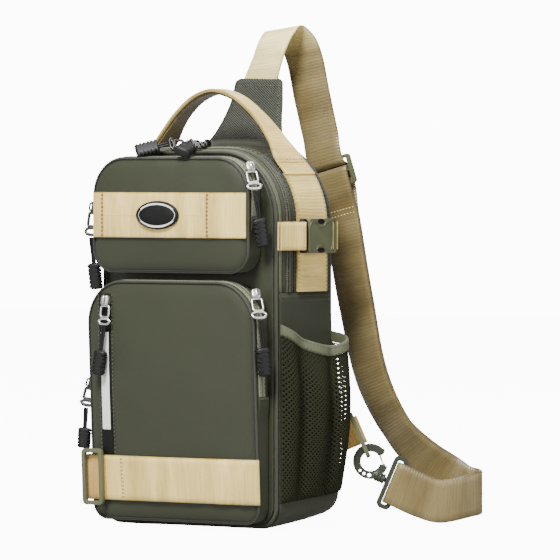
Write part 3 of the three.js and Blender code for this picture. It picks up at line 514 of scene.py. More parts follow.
def stitch_line(kind, path, normal):
    """Keeps stitches along a path for the thread pieces. normal is a direction, or gives one at a point."""
    sizes = bpy.context.scene.bag_sizes
    points = resample(path, (sizes.stitch + sizes.stitch_gap) * 1000)
    THREADS[kind] += [(a, b, normal) for a, b in zip(points, points[1:])]


def panel_rows(outline, inset, front, columns, corner_count=10, side_count=26):
    low = [edge(outline, inset, (1, "lower", a)) for a in steps(90, 0, corner_count)]
    high = [edge(outline, inset, (1, "upper", a)) for a in steps(0, 90, corner_count)]
    rise = [edge(outline, inset, (1, "side", z)) for z in steps(low[-1][1], high[0][1], side_count)[1:-1]]
    rows = []
    for x, z in low + rise + high:
        across = [outline["centre"] + u * (x - outline["centre"]) for u in columns]
        rows.append([Vector((a, front(a, z), z)) for a in across])
    return rows


FINE_COLUMNS = [-1, -0.985, -0.965, -0.94, -0.91, *steps(-0.87, 0.87, 30), 0.91, 0.94, 0.965, 0.985, 1]


def strip_rows(outline_at, spots, columns, relief=None):
    """Rows along an outline. columns(z) gives pairs of depth and inset."""
    rows = []
    for spot in spots:
        height = edge(outline_at(0), 0, spot)[1]
        row = []
        for y, inset in columns(height):
            if relief:
                near = edge(outline_at(y), inset, spot)
                inset += relief(near[0], y, near[1])
            x, z = edge(outline_at(y), inset, spot)
            row.append(Vector((x, y, z)))
        rows.append(row)
    return rows


def arch_path(outline_at, spots, depth, inset):
    """A path along an outline at a depth, or at depth(z)."""
    rows = strip_rows(outline_at, spots, lambda z: [(depth(z) if callable(depth) else depth, inset)])
    return [row[0] for row in rows]


def overlay_rows(face, x0, x1, z0, z1, lift, across, up):
    return [[Vector((x, face(x, z) - lift, z)) for z in steps(z0, z1, up)] for x in steps(x0, x1, across)]


def teeth(name, paths, radius):
    """Ridged beads of zip teeth along paths, as one piece."""
    bm = bmesh.new()
    for path in paths:
        points = resample(path, bpy.context.scene.bag_sizes.tooth * 500)
        tube(bm, points, radius, 6, face=BACK, swell=lambda i: 1 if i % 2 else 0.62)
    piece(bm, name, "teeth")


# Shader groups and materials
def shader_group(name, inputs, outputs, build):
    """A named node group, made once."""
    if name in bpy.data.node_groups:
        return bpy.data.node_groups[name]
    tree = bpy.data.node_groups.new(name, "ShaderNodeTree")
    for label, kind, value in inputs:
        socket = tree.interface.new_socket(label, in_out="INPUT", socket_type=kind)
        socket.default_value = value
    for label, kind in outputs:
        tree.interface.new_socket(label, in_out="OUTPUT", socket_type=kind)
    build(tree, tree.nodes.new("NodeGroupInput").outputs, tree.nodes.new("NodeGroupOutput").inputs)
    return tree


def node(tree, kind, inputs=None, **settings):
    made = tree.nodes.new(kind)
    for key, value in settings.items():
        setattr(made, key, value)
    for key, value in (inputs or {}).items():
        if isinstance(value, bpy.types.NodeSocket):
            tree.links.new(value, made.inputs[key])
        else:
            made.inputs[key].default_value = value
    return made


def add(tree, a, b):
    return node(tree, "ShaderNodeMath", {0: a, 1: b}, operation="ADD").outputs[0]


def times(tree, a, b):
    return node(tree, "ShaderNodeMath", {0: a, 1: b}, operation="MULTIPLY").outputs[0]


def maths(tree, operation, a, b=0.0):
    return node(tree, "ShaderNodeMath", {0: a, 1: b}, operation=operation).outputs[0]


def spread(tree, place, scale, detail, **more):
    inputs = {"Vector": place, "Scale": scale, "Detail": detail, **more}
    return node(tree, "ShaderNodeTexNoise", inputs).outputs[0]


def ranged(tree, value, low, high, start=0.0, end=1.0):
    """Takes a value from low to high over to start to end."""
    inputs = {0: value, 1: low, 2: high, 3: start, 4: end}
    return node(tree, "ShaderNodeMapRange", inputs).outputs[0]


def colour(tree, red, green, blue):
    return node(tree, "ShaderNodeCombineColor", {0: red, 1: green, 2: blue}).outputs[0]


def blend(tree, factor, a, b, kind="MIX"):
    return node(tree, "ShaderNodeMix", {0: factor, 6: a, 7: b}, data_type="RGBA", blend_type=kind).outputs[2]


def object_place(tree):
    return node(tree, "ShaderNodeTexCoord").outputs["Object"]


def cloth_grain(tree, given, out):
    place = object_place(tree)
    fine = spread(tree, place, given["Scale"], 3.0, Roughness=0.6)
    cells = node(tree, "ShaderNodeTexVoronoi", {"Vector": place, "Scale": given["Scale"]}).outputs[0]
    broad = spread(tree, place, 24.0, 4.0, Roughness=0.55)
    height = add(tree, times(tree, fine, 0.6), times(tree, cells, 0.5))
    shade = add(tree, times(tree, broad, given["Mottle"]),
                maths(tree, "SUBTRACT", 1.0, times(tree, given["Mottle"], 0.5)))
    shade = times(tree, shade, add(tree, 0.86, times(tree, height, 0.22)))
    tint = colour(tree, shade, shade, shade)
    rough = add(tree, given["Roughness"], times(tree, maths(tree, "SUBTRACT", broad, 0.5), 0.25))
    tree.links.new(blend(tree, 1.0, given["Colour"], tint, "MULTIPLY"), out["Colour"])
    tree.links.new(height, out["Height"])
    tree.links.new(rough, out["Roughness"])


def webbing_weave(tree, given, out):
    spot = node(tree, "ShaderNodeUVMap", uv_map="Weave").outputs[0]
    parts = node(tree, "ShaderNodeSeparateXYZ", {0: spot})
    u, v = parts.outputs[0], parts.outputs[1]
    turn = maths(tree, "DIVIDE", 2 * math.pi, given["Rib"])
    drift = times(tree, maths(tree, "SUBTRACT", spread(tree, spot, 90.0, 2.0), 0.5), 5.0)
    column = maths(tree, "SINE", times(tree, times(tree, u, turn), 0.9))
    phase = add(tree, add(tree, times(tree, v, turn), times(tree, column, 0.35)), drift)
    height = add(tree, times(tree, maths(tree, "SINE", phase), 0.6),
                 times(tree, maths(tree, "ABSOLUTE", column), 0.35))
    shade = add(tree, 0.6, times(tree, height, 0.035))
    # Streaks along the webbing: the broad ones are painted satin sheen and shading, the finer ones the
    # weave's uneven tone
    for across, along, share in ((9.0, 42.0, 0.42), (40.0, 420.0, 0.14), (900.0, 90.0, 0.06)):
        place = node(tree, "ShaderNodeMapping", {0: spot, 3: (across, along, 1.0)}).outputs[0]
        sheen_and_tone_streaks = ranged(tree, spread(tree, place, 1.0, 3.0), 0.34, 0.66)
        shade = add(tree, shade, times(tree, sheen_and_tone_streaks, share))
    border = node(tree, "ShaderNodeUVMap", uv_map="Border").outputs[0]
    reach = maths(tree, "ABSOLUTE", node(tree, "ShaderNodeSeparateXYZ", {0: border}).outputs[0])
    rim = ranged(tree, reach, 0.93, 0.985, 1.0, 0.5)
    shade = times(tree, shade, rim)
    tint = colour(tree, shade, maths(tree, "POWER", shade, 1.08), maths(tree, "POWER", shade, 1.5))
    tree.links.new(blend(tree, 1.0, given["Colour"], tint, "MULTIPLY"), out["Colour"])
    tree.links.new(height, out["Height"])
    tree.links.new(v, out["Along"])


NUMBER, TINT = "NodeSocketFloat", "NodeSocketColor"
GREY = (0.5, 0.5, 0.5, 1)


def grain_group():
    inputs = [("Colour", TINT, GREY), ("Scale", NUMBER, 1500.0), ("Mottle", NUMBER, 0.2),
              ("Roughness", NUMBER, 0.6)]
    outputs = [("Colour", TINT), ("Roughness", NUMBER), ("Height", NUMBER)]
    return shader_group("Cloth grain", inputs, outputs, cloth_grain)


def weave_group():
    inputs = [("Colour", TINT, GREY), ("Rib", NUMBER, 0.0015)]
    outputs = [("Colour", TINT), ("Height", NUMBER), ("Along", NUMBER)]
    return shader_group("Webbing weave", inputs, outputs, webbing_weave)


def base_material(name):
    material = bpy.data.materials.new(name)
    material.use_nodes = True
    return material, material.node_tree, material.node_tree.nodes["Principled BSDF"]


def bump(tree, shader, height, strength, distance=0.0004):
    made = node(tree, "ShaderNodeBump", {"Strength": strength, "Distance": distance, "Height": height})
    tree.links.new(made.outputs[0], shader.inputs["Normal"])


def cloth_material(name, hue, scale=1500.0, mottle=0.22, rough=0.6, strength=0.35, distance=0.0004,
                   sheen=0.15, metallic=0.0, specular=0.5):
    if name in bpy.data.materials:
        return bpy.data.materials[name]
    material, tree, shader = base_material(name)
    given = {"Colour": (*hue, 1), "Scale": scale, "Mottle": mottle, "Roughness": rough}
    grain = node(tree, "ShaderNodeGroup", given, node_tree=grain_group())
    tree.links.new(grain.outputs["Colour"], shader.inputs["Base Color"])
    tree.links.new(grain.outputs["Roughness"], shader.inputs["Roughness"])
    bump(tree, shader, grain.outputs["Height"], strength, distance)
    shader.inputs["Sheen Weight"].default_value = sheen
    shader.inputs["Metallic"].default_value = metallic
    shader.inputs["Specular IOR Level"].default_value = specular
    return material


def webbing_material(name, hue, shaded=None, start=0.05, end=0.085):
    """Webbing of one colour, or of two where a darker copy, painted shade, takes over from start to end along
    it.
    """
    if name in bpy.data.materials:
        return bpy.data.materials[name]
    material, tree, shader = base_material(name)
    given = {"Colour": (*hue, 1), "Rib": bpy.context.scene.bag_sizes.rib}
    weave = node(tree, "ShaderNodeGroup", given, node_tree=weave_group())
    seen = weave.outputs["Colour"]
    # The second colour is painted shade, blended in along the webbing
    if shaded is not None:
        share = ranged(tree, weave.outputs["Along"], start, end)
        tint = tuple(b / a for a, b in zip(hue, shaded))
        seen = blend(tree, share, seen, blend(tree, 1.0, seen, (*tint, 1), "MULTIPLY"))
    tree.links.new(seen, shader.inputs["Base Color"])
    shader.inputs["Roughness"].default_value = 0.38
    shader.inputs["Sheen Weight"].default_value = 0.2
    bump(tree, shader, weave.outputs["Height"], 0.24)
    return material


def twill_material(name, hue):
    if name in bpy.data.materials:
        return bpy.data.materials[name]
    material, tree, shader = base_material(name)
    parts = node(tree, "ShaderNodeSeparateXYZ", {0: object_place(tree)})
    slope = add(tree, times(tree, parts.outputs[0], 0.8), parts.outputs[2])
    lines = maths(tree, "SINE", times(tree, slope, 2 * math.pi / 0.0022))
    grain = node(tree, "ShaderNodeGroup", {"Colour": (*hue, 1)}, node_tree=grain_group())
    shade = add(tree, 0.9, times(tree, lines, 0.08))
    seen = blend(tree, 1.0, grain.outputs["Colour"], colour(tree, shade, shade, shade), "MULTIPLY")
    tree.links.new(seen, shader.inputs["Base Color"])
    tree.links.new(grain.outputs["Roughness"], shader.inputs["Roughness"])
    bump(tree, shader, add(tree, lines, times(tree, grain.outputs["Height"], 0.5)), 0.5)
    return material


def finishes():
    """The bag's materials by name, made once."""
    hue = bpy.context.scene.bag_colours

    def hard(name, tone, *grain, **more):
        return cloth_material(name, tone, *grain, sheen=0.0, **more)
    return {
        "cloth": cloth_material("Coated cloth", hue.cloth, mottle=0.16, rough=0.52, strength=0.2, sheen=0.1,
                                specular=0.32),
        "light_cloth": cloth_material("Light cloth", hue.light_cloth, rough=0.55),
        "zip_strip": cloth_material("Zip strip", hue.zip_strip, rough=0.6),
        "zip_tape": cloth_material("Zip tape", hue.zip_tape, 2200.0, rough=0.75, strength=0.5),
        "dark_edge": cloth_material("Dark edge", hue.zip_tape, 1800.0),
        "teeth": cloth_material("Zip teeth", srgb(70, 72, 53), 900.0, 0.1, 0.4, 0.1),
        "piping": cloth_material("Corded edge", hue.piping, 1700.0, 0.2, 0.55),
        "shadow": cloth_material("Seam shadow", srgb(20, 21, 15), 1700.0, 0.1, 0.8),
        "tan": webbing_material("Tan webbing", hue.webbing),
        # Strap webbing: painted light on the short front leg, turning to painted shade 5 to 8.5 cm along; the
        # shaded copy alone is painted shade
        "strap": webbing_material("Strap webbing", hue.painted_light_webbing, hue.painted_shade_webbing),
        "painted_shade": webbing_material("Shaded webbing", hue.painted_shade_webbing),
        # Darker webbing copy round the rings: painted shade
        "ring_shade": webbing_material("Gold webbing", hue.ring_shade),
        "thread": cloth_material("Webbing thread", hue.thread, 3000.0, 0.1),
        "pale_thread": cloth_material("Pale thread", hue.webbing, 3000.0, 0.1),
        "seam": cloth_material("Cloth thread", srgb(72, 74, 60), 3000.0, 0.1),
        "twill": twill_material("Twill", hue.twill),
        "backing": cloth_material("Air mesh", hue.backing, 420.0, 0.15, 0.85, 1.0, 0.0012),
        "hook": hard("Hook plastic", hue.hook, 700.0, 0.12, 0.36, 0.08),
        "plastic": hard("Moulded plastic", hue.plastic, 700.0, 0.12, 0.42, 0.08),
        "rubber": hard("Grip rubber", hue.rubber, 1200.0, 0.2, 0.5, 0.15, specular=0.3),
        "metal": hard("Nickel", hue.metal, 500.0, 0.1, 0.34, 0.02, metallic=1.0),
        "dark_metal": hard("Gunmetal", hue.dark_metal, 500.0, 0.1, 0.34, 0.02, metallic=1.0),
        "net": hard("Net", hue.net, 2600.0, 0.2, 0.7, 0.4, specular=0.2),
        "black": hard("Black tape", hue.black, 1800.0, 0.2, 0.55, 0.12, specular=0.25),
        "white": hard("White strip", hue.white, 900.0, 0.05, 0.4, 0.05),
    }


# Name, place in metres from the hanging point, size and power
LIGHTS = (
    ("key", (0.4, -2.1, 2.2), 1.1, 225),
    ("fill", (-1.0, -2.8, 0.3), 1.4, 24),
    ("side", (2.7, -0.7, 0.5), 1.4, 40),
    ("top", (-0.1, 0.2, 2.3), 1.6, 56),
    ("rear", (-0.7, 2.5, 1.2), 1.4, 34),
)
LIGHT_AIM = Vector((0, 0, -0.25))
SKY, SEEN_SKY, SEEN_FLOOR = 0.16, 12.0, 11.0
FLOOR_HALF, FLOOR_GAP, FLOOR_GREY = 6, 0.0008, (0.3, 0.3, 0.3)
EYE, EYE_AIM = Vector((3161.2, -4259.2, 321.8)), Vector((-0.5877, 0.8089, -0.02))
PICTURE, FOCAL_PIXELS, SENSOR = 560, 6000, 36


class BAG_OT_stage(bpy.types.Operator):
    """Floor, soft studio light and the camera"""
    bl_idname = "bag.stage"
    bl_label = "Stage"

    def execute(self, context):
        scene = context.scene
        bm = bmesh.new()
        bmesh.ops.create_grid(bm, x_segments=2, y_segments=2, size=FLOOR_HALF)
        bm.transform(Matrix.Translation((0, 0, -HANG.z / 1000 - FLOOR_GAP)))
        mesh = bpy.data.meshes.new("floor")
        bm.to_mesh(mesh)
        bm.free()
        pale = cloth_material("Pale floor", FLOOR_GREY, 40.0, 0.02, 0.8, 0.02, sheen=0.0)
        tree = pale.node_tree
        shader = tree.nodes["Principled BSDF"]
        glow = times(tree, node(tree, "ShaderNodeLightPath").outputs["Is Camera Ray"], SEEN_FLOOR)
        tree.links.new(colour(tree, glow, glow, glow), shader.inputs["Emission Color"])
        shader.inputs["Emission Strength"].default_value = 1
        mesh.materials.append(pale)
        floor = bpy.data.objects.new("floor", mesh)
        scene.collection.objects.link(floor)
        camera = bpy.data.cameras.new("view")
        camera.sensor_width = SENSOR
        camera.lens = FOCAL_PIXELS / PICTURE * SENSOR
        camera.clip_end = 50
        camera.dof.use_dof = False
        eye = bpy.data.objects.new("view", camera)
        eye.location = (EYE - HANG) / 1000
        eye.rotation_euler = EYE_AIM.to_track_quat("-Z", "Y").to_euler()
        scene.collection.objects.link(eye)
        scene.camera = eye
        world = bpy.data.worlds.new("studio")
        world.use_nodes = True
        tree = world.node_tree
        sky = tree.nodes["Background"]
        sky.inputs[0].default_value = (1, 1, 1, 1)
        seen = node(tree, "ShaderNodeLightPath").outputs["Is Camera Ray"]
        tree.links.new(add(tree, SKY, times(tree, seen, SEEN_SKY)), sky.inputs[1])
        scene.world = world
        for name, place, size, power in LIGHTS:
            light = bpy.data.lights.new(name, "AREA")
            light.shape = "DISK"
            light.size = size
            light.energy = power
            lamp = bpy.data.objects.new(name, light)
            lamp.location = place
            lamp.rotation_euler = (LIGHT_AIM - Vector(place)).to_track_quat("-Z", "Y").to_euler()
            scene.collection.objects.link(lamp)
        return {"FINISHED"}


MAIN_ARCH = arch(ZIP_FOOT + SEAT, ZIP_FOOT + SEAT)
FLANGE = ((0, 3), (0, 6.5), (0.6, 6.5), (0.6, 3.6), (4.4, 3.6), (4.4, 3))


def seam_columns(low, high):
    """Depths and insets across a sewn strip whose edges dip into the seams."""
    inner = steps(low + 4, high - 4, max(2, int((high - low) / 7)))
    return [(low, 0.9), (low + 0.7, 0.2), (low + 1.7, -0.1), *[(y, 0) for y in inner],
            (high - 1.7, -0.1), (high - 0.7, 0.2), (high, 0.9)]


class BAG_OT_body(bpy.types.Operator):
    """Front panel, padded back, side strips and piping of the main body"""
    bl_idname = "bag.body"
    bl_label = "Main body"

    def execute(self, context):
        swell = context.scene.bag_sizes.ripple * 1000
        front, rear = GUSSET
        rows = panel_rows(main_at(MAIN_FRONT), PANEL_INSET,
                          lambda x, z: MAIN_FRONT + abs(ripple((x, 0, z), 30, swell)), FINE_COLUMNS)
        sheet("front_panel", "cloth", rows, ["main_front_panel"], wall=CLOTH, toward=FRONT)
        back = main_at(MAIN_REAR)
        rows = panel_rows(back, PANEL_INSET, lambda x, z: self.pad(back, x, z), steps(-1, 1, 120), 14, 90)
        pad = sheet("padded_back", "backing", rows, ["back_panel"], wall=PADDING - 0.4, toward=BACK)
        base = [(h / 5, "lower", 90) for h in range(4, -5, -1)]
        cradle = sides(1, ZIP_FOOT, 31, 30)[:-1] + corner(1, "lower") + base
        cradle += corner(-1, "lower", False) + sides(-1, 31, ZIP_FOOT, 30)[1:]
        rows = strip_rows(main_at, cradle, lambda z: seam_columns(front, rear),
                          lambda x, y, z: ripple((x, y, z), 26, swell) - 0.1)
        sheet("side_and_base", "cloth", rows, ["gusset_lower"], wall=CLOTH, away_from=MIDDLE)
        low, high = front, ZIP_FROM - SEAT
        narrow = [(low, 0.7), (low + 0.8, 0.1), (high - 0.8, 0.1), (high, 0.7)]
        for name, columns, node_name, finish, slot in (
                ("front_strip", narrow, "gusset_front", "light_cloth", "light_cloth"),
                ("rear_strip", seam_columns(ZIP_TO + SEAT, rear), "gusset_rear", "twill", "coated_cloth")):
            rows = strip_rows(main_at, MAIN_ARCH, lambda z: columns)
            sheet(name, finish, rows, [node_name], slot=slot, wall=CLOTH, away_from=MIDDLE)
        front_seam, rear_seam = MAIN_FRONT + CLOTH + 0.1, MAIN_REAR - PADDING - 0.2
        ring = loop(40, 250)
        for name, y, seam, inward, node_name, finish in (
                ("front_cord", MAIN_FRONT + PIPING + SEAT, front_seam, 1, "front_piping", "piping"),
                ("rear_cord", rear + SEAT + PIPING, rear_seam, -1, "back_piping", "dark_edge")):
            bm = bmesh.new()
            tube(bm, arch_path(main_at, ring, y, PIPING + SEAT), PIPING, 10, True, face=BACK)
            allowance = [(seam + inward * depth, inset) for depth, inset in FLANGE]
            extrude_rows(bm, strip_rows(main_at, ring, lambda z: allowance), round_rows=True, ring=True)
            piece(bm, name, finish, [node_name])
        for y in (ZIP_TO + 3.2, rear - 3):
            path = arch_path(main_at, MAIN_ARCH, y, -0.1)
            stitch_line("cloth", path, lambda p: (p - Vector((-2, p.y, 250))).normalized())
        for z in (199, 203):
            for hand in (1, -1):
                depths = steps(front + 1.5, rear - 1.5, 20)
                path = [Vector((edge(main_at(y), -0.1, (hand, "side", z))[0], y, z)) for y in depths]
                stitch_line("cloth", path, RIGHT * hand)
        return {"FINISHED"}

    @staticmethod
    def pad(outline, x, z):
        """The padded back's depth: two long cushions with a sunk air channel and a sewn border."""
        inside = depth_in({**outline, "half": outline["half"] - PANEL_INSET}, x, z)
        border = smoothstep(inside, 2, 16)
        channel = 1 - 0.75 * math.exp(-((x + 2) / 7) ** 2) * smoothstep(z, 40, 70)
        cross = 1 - 0.6 * math.exp(-((z - 190) / 4) ** 2) - 0.6 * math.exp(-((z - 105) / 4) ** 2)
        fade = 1 - smoothstep(z, 300, 322)
        return MAIN_REAR - 0.4 + 5 * border * channel * max(cross, 0) * fade


class BAG_OT_main_zip(bpy.types.Operator):
    """Main zip over the top of the body"""
    bl_idname = "bag.main_zip"
    bl_label = "Main zip"

    def execute(self, context):
        half = (ZIP_TO - ZIP_FROM) / 2
        profile = ((half, 1), (half - 0.8, 0.5), (3.6, 0.3), (2.9, 0.8))
        columns = [(ZIP_MIDDLE - out, inset) for out, inset in profile] + [(ZIP_MIDDLE, 0.9)]
        columns += [(ZIP_MIDDLE + out, inset) for out, inset in profile[::-1]]
        rows = strip_rows(main_at, MAIN_ARCH, lambda z: columns)
        sheet("main_zip_tape", "zip_tape", rows, ["main_zip"], wall=1.2, away_from=MIDDLE)
        paths = [arch_path(main_at, MAIN_ARCH, ZIP_MIDDLE + hand * 1.7, 0.1) for hand in (-1, 1)]
        teeth("main_zip_teeth", paths, 1.35)
        return {"FINISHED"}


# Distance behind the zip's front edge and inset, across a pocket's zip tape
TAPE = ((0, -0.45), (0.5, -1.15), (3.4, -1.3), (3.8, -0.8), (5.7, -0.8), (6.1, -1.3), (9, -1.15),
        (9.5, -0.45))
TAPE_MIDDLE, TAPE_SEAMS = 4.75, (1.4, 8.1)
POCKET_CORE = (-5, -52)


class BAG_OT_pockets(bpy.types.Operator):
    """Faces, gussets, piping and zips of the two front pockets"""
    bl_idname = "bag.pockets"
    bl_label = "Front pockets"

    def execute(self, context):
        for name, pocket in (("upper", UPPER), ("lower", LOWER)):
            self.shell(context.scene.bag_sizes, name, pocket)
            self.zip(name, pocket)
        return {"FINISHED"}

    @staticmethod
    def shell(sizes, name, pocket):
        roll, swell = sizes.edge_roll * 1000, sizes.ripple * 1000

        def front(x, z):
            inside = depth_in(pocket, x, z)
            turned = roll * max(0, 1 - inside / 10) ** 2
            waves = (ripple((x, 7, z), 34, swell) + 0.1) * smoothstep(inside, 4, 20)
            return pocket_face(pocket, x, z) + turned + waves

        def columns(z):
            low, high = pocket_rim(pocket, z) + 0.5, POCKET_REAR
            inner = [(y, 0) for y in steps(low + 2, high - 2.5, 4)]
            return [(low, 0.6), (low + 0.8, 0.1), *inner, (high - 1, 0.2), (high, 0.9)]

        def rim_cord(shift, inset):
            return [arch_path(lambda y: pocket, ring, lambda z: pocket_rim(pocket, z) + shift, inset)]
        sheet(f"{name}_pocket_face", "cloth", panel_rows(pocket, 0.2, front, FINE_COLUMNS), [f"{name}_face"],
              wall=FACE - 0.4, toward=FRONT)
        ring = loop(pocket["bottom"] + pocket["r_bottom"], pocket["top"] - pocket["r_top"])
        inside = Vector((*POCKET_CORE, (pocket["top"] + pocket["bottom"]) / 2))
        rows = strip_rows(lambda y: pocket, ring, columns)
        sheet(f"{name}_pocket_gusset", "cloth", rows, [f"{name}_gusset"], ring=True, wall=CLOTH,
              away_from=inside)
        tubes(f"{name}_pocket_piping", "piping", rim_cord(0.1, 0.3), 1.3, 8, True, BACK)
        # Near-black cords either side of the piping: painted shade in the grooves beside it
        tubes(f"{name}_pocket_front_shade_line", "shadow", rim_cord(-1.25, 0.95), 0.5, 6, True, BACK)
        tubes(f"{name}_pocket_rear_shade_line", "shadow", rim_cord(1.7, 0.15), 0.5, 6, True, BACK)

    @staticmethod
    def zip(name, pocket):
        over = arch(*pocket["feet"], pocket["top"] - pocket["r_top"], 14)
        foot_middle = Vector((*POCKET_CORE, pocket["bottom"]))

        def at(back, z):
            return pocket_rim(pocket, z) + pocket["zip"] + back

        def along(back, inset):
            return arch_path(lambda y: pocket, over, lambda z: at(back, z), inset)
        rows = strip_rows(lambda y: pocket, over, lambda z: [(at(back, z), inset) for back, inset in TAPE])
        sheet(f"{name}_zip_tape", "zip_strip", rows, [f"{name}_zip"], wall=0.4, away_from=foot_middle)
        teeth(f"{name}_zip_teeth", [along(TAPE_MIDDLE + hand * 0.6, -1.0) for hand in (-1, 1)], 0.75)
        for side, hand, foot in (("right", 1, pocket["feet"][0]), ("left", -1, pocket["feet"][1])):
            down = sides(hand, foot + 5, pocket["bottom"] + pocket["r_bottom"], 10)
            down += [(hand, "lower", a) for a in CORNER[1:8]]

            def cover(z):
                low, high = pocket_rim(pocket, z) + 2.6, POCKET_REAR - 0.8
                out = -0.35 - 1.5 * smoothstep(z, foot - 14, foot - 2)
                inner = [(y, out) for y in steps(low + 2, high - 2, 4)]
                return [(low, -0.15), (low + 0.7, out), *inner, (high - 0.7, out), (high, -0.15)]
            sheet(f"{name}_zip_end_{side}", "cloth", strip_rows(lambda y: pocket, down, cover), wall=0.3,
                  bevel=0.15, away_from=foot_middle)
            x = edge(pocket, -2.0, (hand, "side", foot + 3))[0]
            depths = steps(pocket_rim(pocket, foot) + 3.6, POCKET_REAR - 1.8, 6)
            stitch_line("cloth", [Vector((x, y, foot + 3)) for y in depths], RIGHT * hand)
        for back in TAPE_SEAMS:
            stitch_line("cloth", along(back, -1.35),
                        lambda p: (p - Vector((POCKET_CORE[0], p.y, pocket["top"] - 60))).normalized())


SLIT_SIDES, SLIT_ENDS, BARE_ENDS = (-80.6, -68.4), (62.4, 204), (84, 170)


class BAG_OT_slit(bpy.types.Operator):
    """Slit pocket with its tape and bare strip on the lower pocket"""
    bl_idname = "bag.slit"
    bl_label = "Slit pocket"

    def execute(self, context):
        left, right = SLIT_SIDES
        rows = overlay_rows(lower_face, left, right, *SLIT_ENDS, 1.2, 8, 40)
        sheet("slit_band", "black", rows, ["slit_tape"], wall=0.9, bevel=0.3, toward=FRONT)
        rows = overlay_rows(lower_face, left + 1.5, right - 1.5, *BARE_ENDS, 2.0, 6, 30)
        sheet("bare_strip", "white", rows, ["slit_strip"], wall=0.5, bevel=0.15, toward=FRONT)
        for x in (left - 1.6, right + 1.6):
            path = [Vector((x, lower_face(x, z) - 0.35, z)) for z in steps(*SLIT_ENDS, 30)]
            stitch_line("cloth", path, FRONT)
        return {"FINISHED"}


class BAG_OT_bands(bpy.types.Operator):
    """Webbing bands over the pockets, and the webbing that holds the ring"""
    bl_idname = "bag.bands"
    bl_label = "Front bands"

    def execute(self, context):
        self.upper()
        self.lower()
        return {"FINISHED"}

    @staticmethod
    def upper():
        left, right = UPPER["centre"] - UPPER["half"] + 0.6, UPPER["centre"] + UPPER["half"] - 0.6
        low, high = UPPER_BAND_AT - BAND / 2, UPPER_BAND_AT + BAND / 2
        seam = 37

        def face(x, z):
            return upper_face(x, z) + 1.2 * max(0, 1 - min(x - left, right - x) / 5) ** 2

        def on_band(x, z, lift):
            return Vector((x, upper_face(x, z) - SEAT - WEBBING - lift, z))
        rows = overlay_rows(face, left, right, low, high, SEAT + WEBBING, 60, 10)
        sheet("upper_webbing", "tan", rows, ["upper_band"], woven=True, wall=WEBBING - 0.1, bevel=0.4,
              toward=FRONT)
        for x in (left + 11.5, left + 13.2, seam, seam + 1.7):
            stitch_line("webbing", [on_band(x, z, 0.1) for z in steps(low + 0.6, high - 0.6, 12)], FRONT)
        # Continuous thread-coloured cords at the two seams: painted shade of the seam grooves
        heights = steps(low + 0.3, high - 0.3, 12)
        paths = [[on_band(x, z, 0) for z in heights] for x in (left + 12.4, seam + 0.8)]
        tubes("band_seam_shade", "thread", paths, 0.45, 6, face=FRONT, smooth=60)
        path = [on_band(x, UPPER_BAND_AT, 0.05) for x in steps(left + 14, seam - 1, 40)]
        stitch_line("faint", path, FRONT)

    @staticmethod
    def lower():
        def on_lower(x, lift):
            return Vector((x, lower_face(x, LOWER_BAND_AT) - lift, LOWER_BAND_AT))

        def lean(x):
            rise = lower_face(x, LOWER_BAND_AT + BAND / 2) - lower_face(x, LOWER_BAND_AT - BAND / 2)
            return Vector((0, rise, BAND)).normalized()
        rows = [(on_lower(x, lift), lean(x), BAND, WEBBING) for x, lift in LOWER_WAVES]
        web("lower_webbing", "tan", smooth_rows(rows, 110), "lower_band", 8)
        for x in (-59, -57.3):
            path = [on_lower(x, 2.85) + lean(x) * up for up in steps(-18.5, 18.5, 12)]
            stitch_line("webbing", path, FRONT)
        upright = Vector((0, pocket_front(LOWER, 1) - pocket_front(LOWER, 0), 1)).normalized()
        path = [on_lower(-77, 3.3), on_lower(-84, 3.6), on_lower(-91, 3.8)]
        round_ring = ((-97.6, -62.6), (-100.2, -60), (-100.6, -55), (-98.4, -44))
        path += [Vector((x, y, LOWER_BAND_AT)) for x, y in round_ring]
        # The webbing round the front ring takes the darker copy: painted shade
        web("ring_webbing", "ring_shade", standing(path, upright, BAND, WEBBING, 60), "ring_loop_front", 8)


# Share of the badge's size and lift, from its foot to its middle
BADGE_PROFILE = ((1.0, 0.1), (1.0, 1.5), (0.985, 2.0), (0.9, 2.4), (0.86, 2.0), (0.84, 1.7), (0.84, 1.7),
                 (0.76, 1.75), (0.76, 1.75), (0.72, 1.9), (0.6, 2.5), (0.35, 3.0), (0.05, 3.15))
BADGE_X, BADGE_HALF_WIDTH, BADGE_HALF_HEIGHT = -14, 23, 12.5
BADGE_COUNT, KNURL, PALE_RING = 96, 0.35, (0.62, 0.87)


class BAG_OT_badge(bpy.types.Operator):
    """Plain oval badge with a knurled rim, a pale ring and a dark dome"""
    bl_idname = "bag.badge"
    bl_label = "Badge"

    def execute(self, context):
        back = upper_face(BADGE_X, UPPER_BAND_AT) - 2 * SEAT - WEBBING

        def ring(share, lift, knurl):
            points = []
            for k in range(BADGE_COUNT):
                angle = 2 * math.pi * k / BADGE_COUNT
                inset = (1 - share) * BADGE_HALF_HEIGHT * 0.98 + (KNURL if knurl and k % 2 else 0)
                points.append(Vector((BADGE_X + (BADGE_HALF_WIDTH - inset) * math.cos(angle), back - lift,
                                      UPPER_BAND_AT + (BADGE_HALF_HEIGHT - inset) * math.sin(angle))))
            return points
        bm = bmesh.new()
        extrude_rings(bm, [ring(share, lift, i in (1, 2)) for i, (share, lift) in enumerate(BADGE_PROFILE)])
        inner, outer = PALE_RING
        for face in bm.faces:
            at = face.calc_center_median()
            reach = math.hypot((at.x - BADGE_X) / BADGE_HALF_WIDTH,
                               (at.z - UPPER_BAND_AT) / BADGE_HALF_HEIGHT)
            face.material_index = int(inner < reach < outer and 1.5 < back - at.y < 1.9)
        piece(bm, "oval_badge", "black", ["badge"], slot="badge", smooth=35, more=("white",))
        return {"FINISHED"}


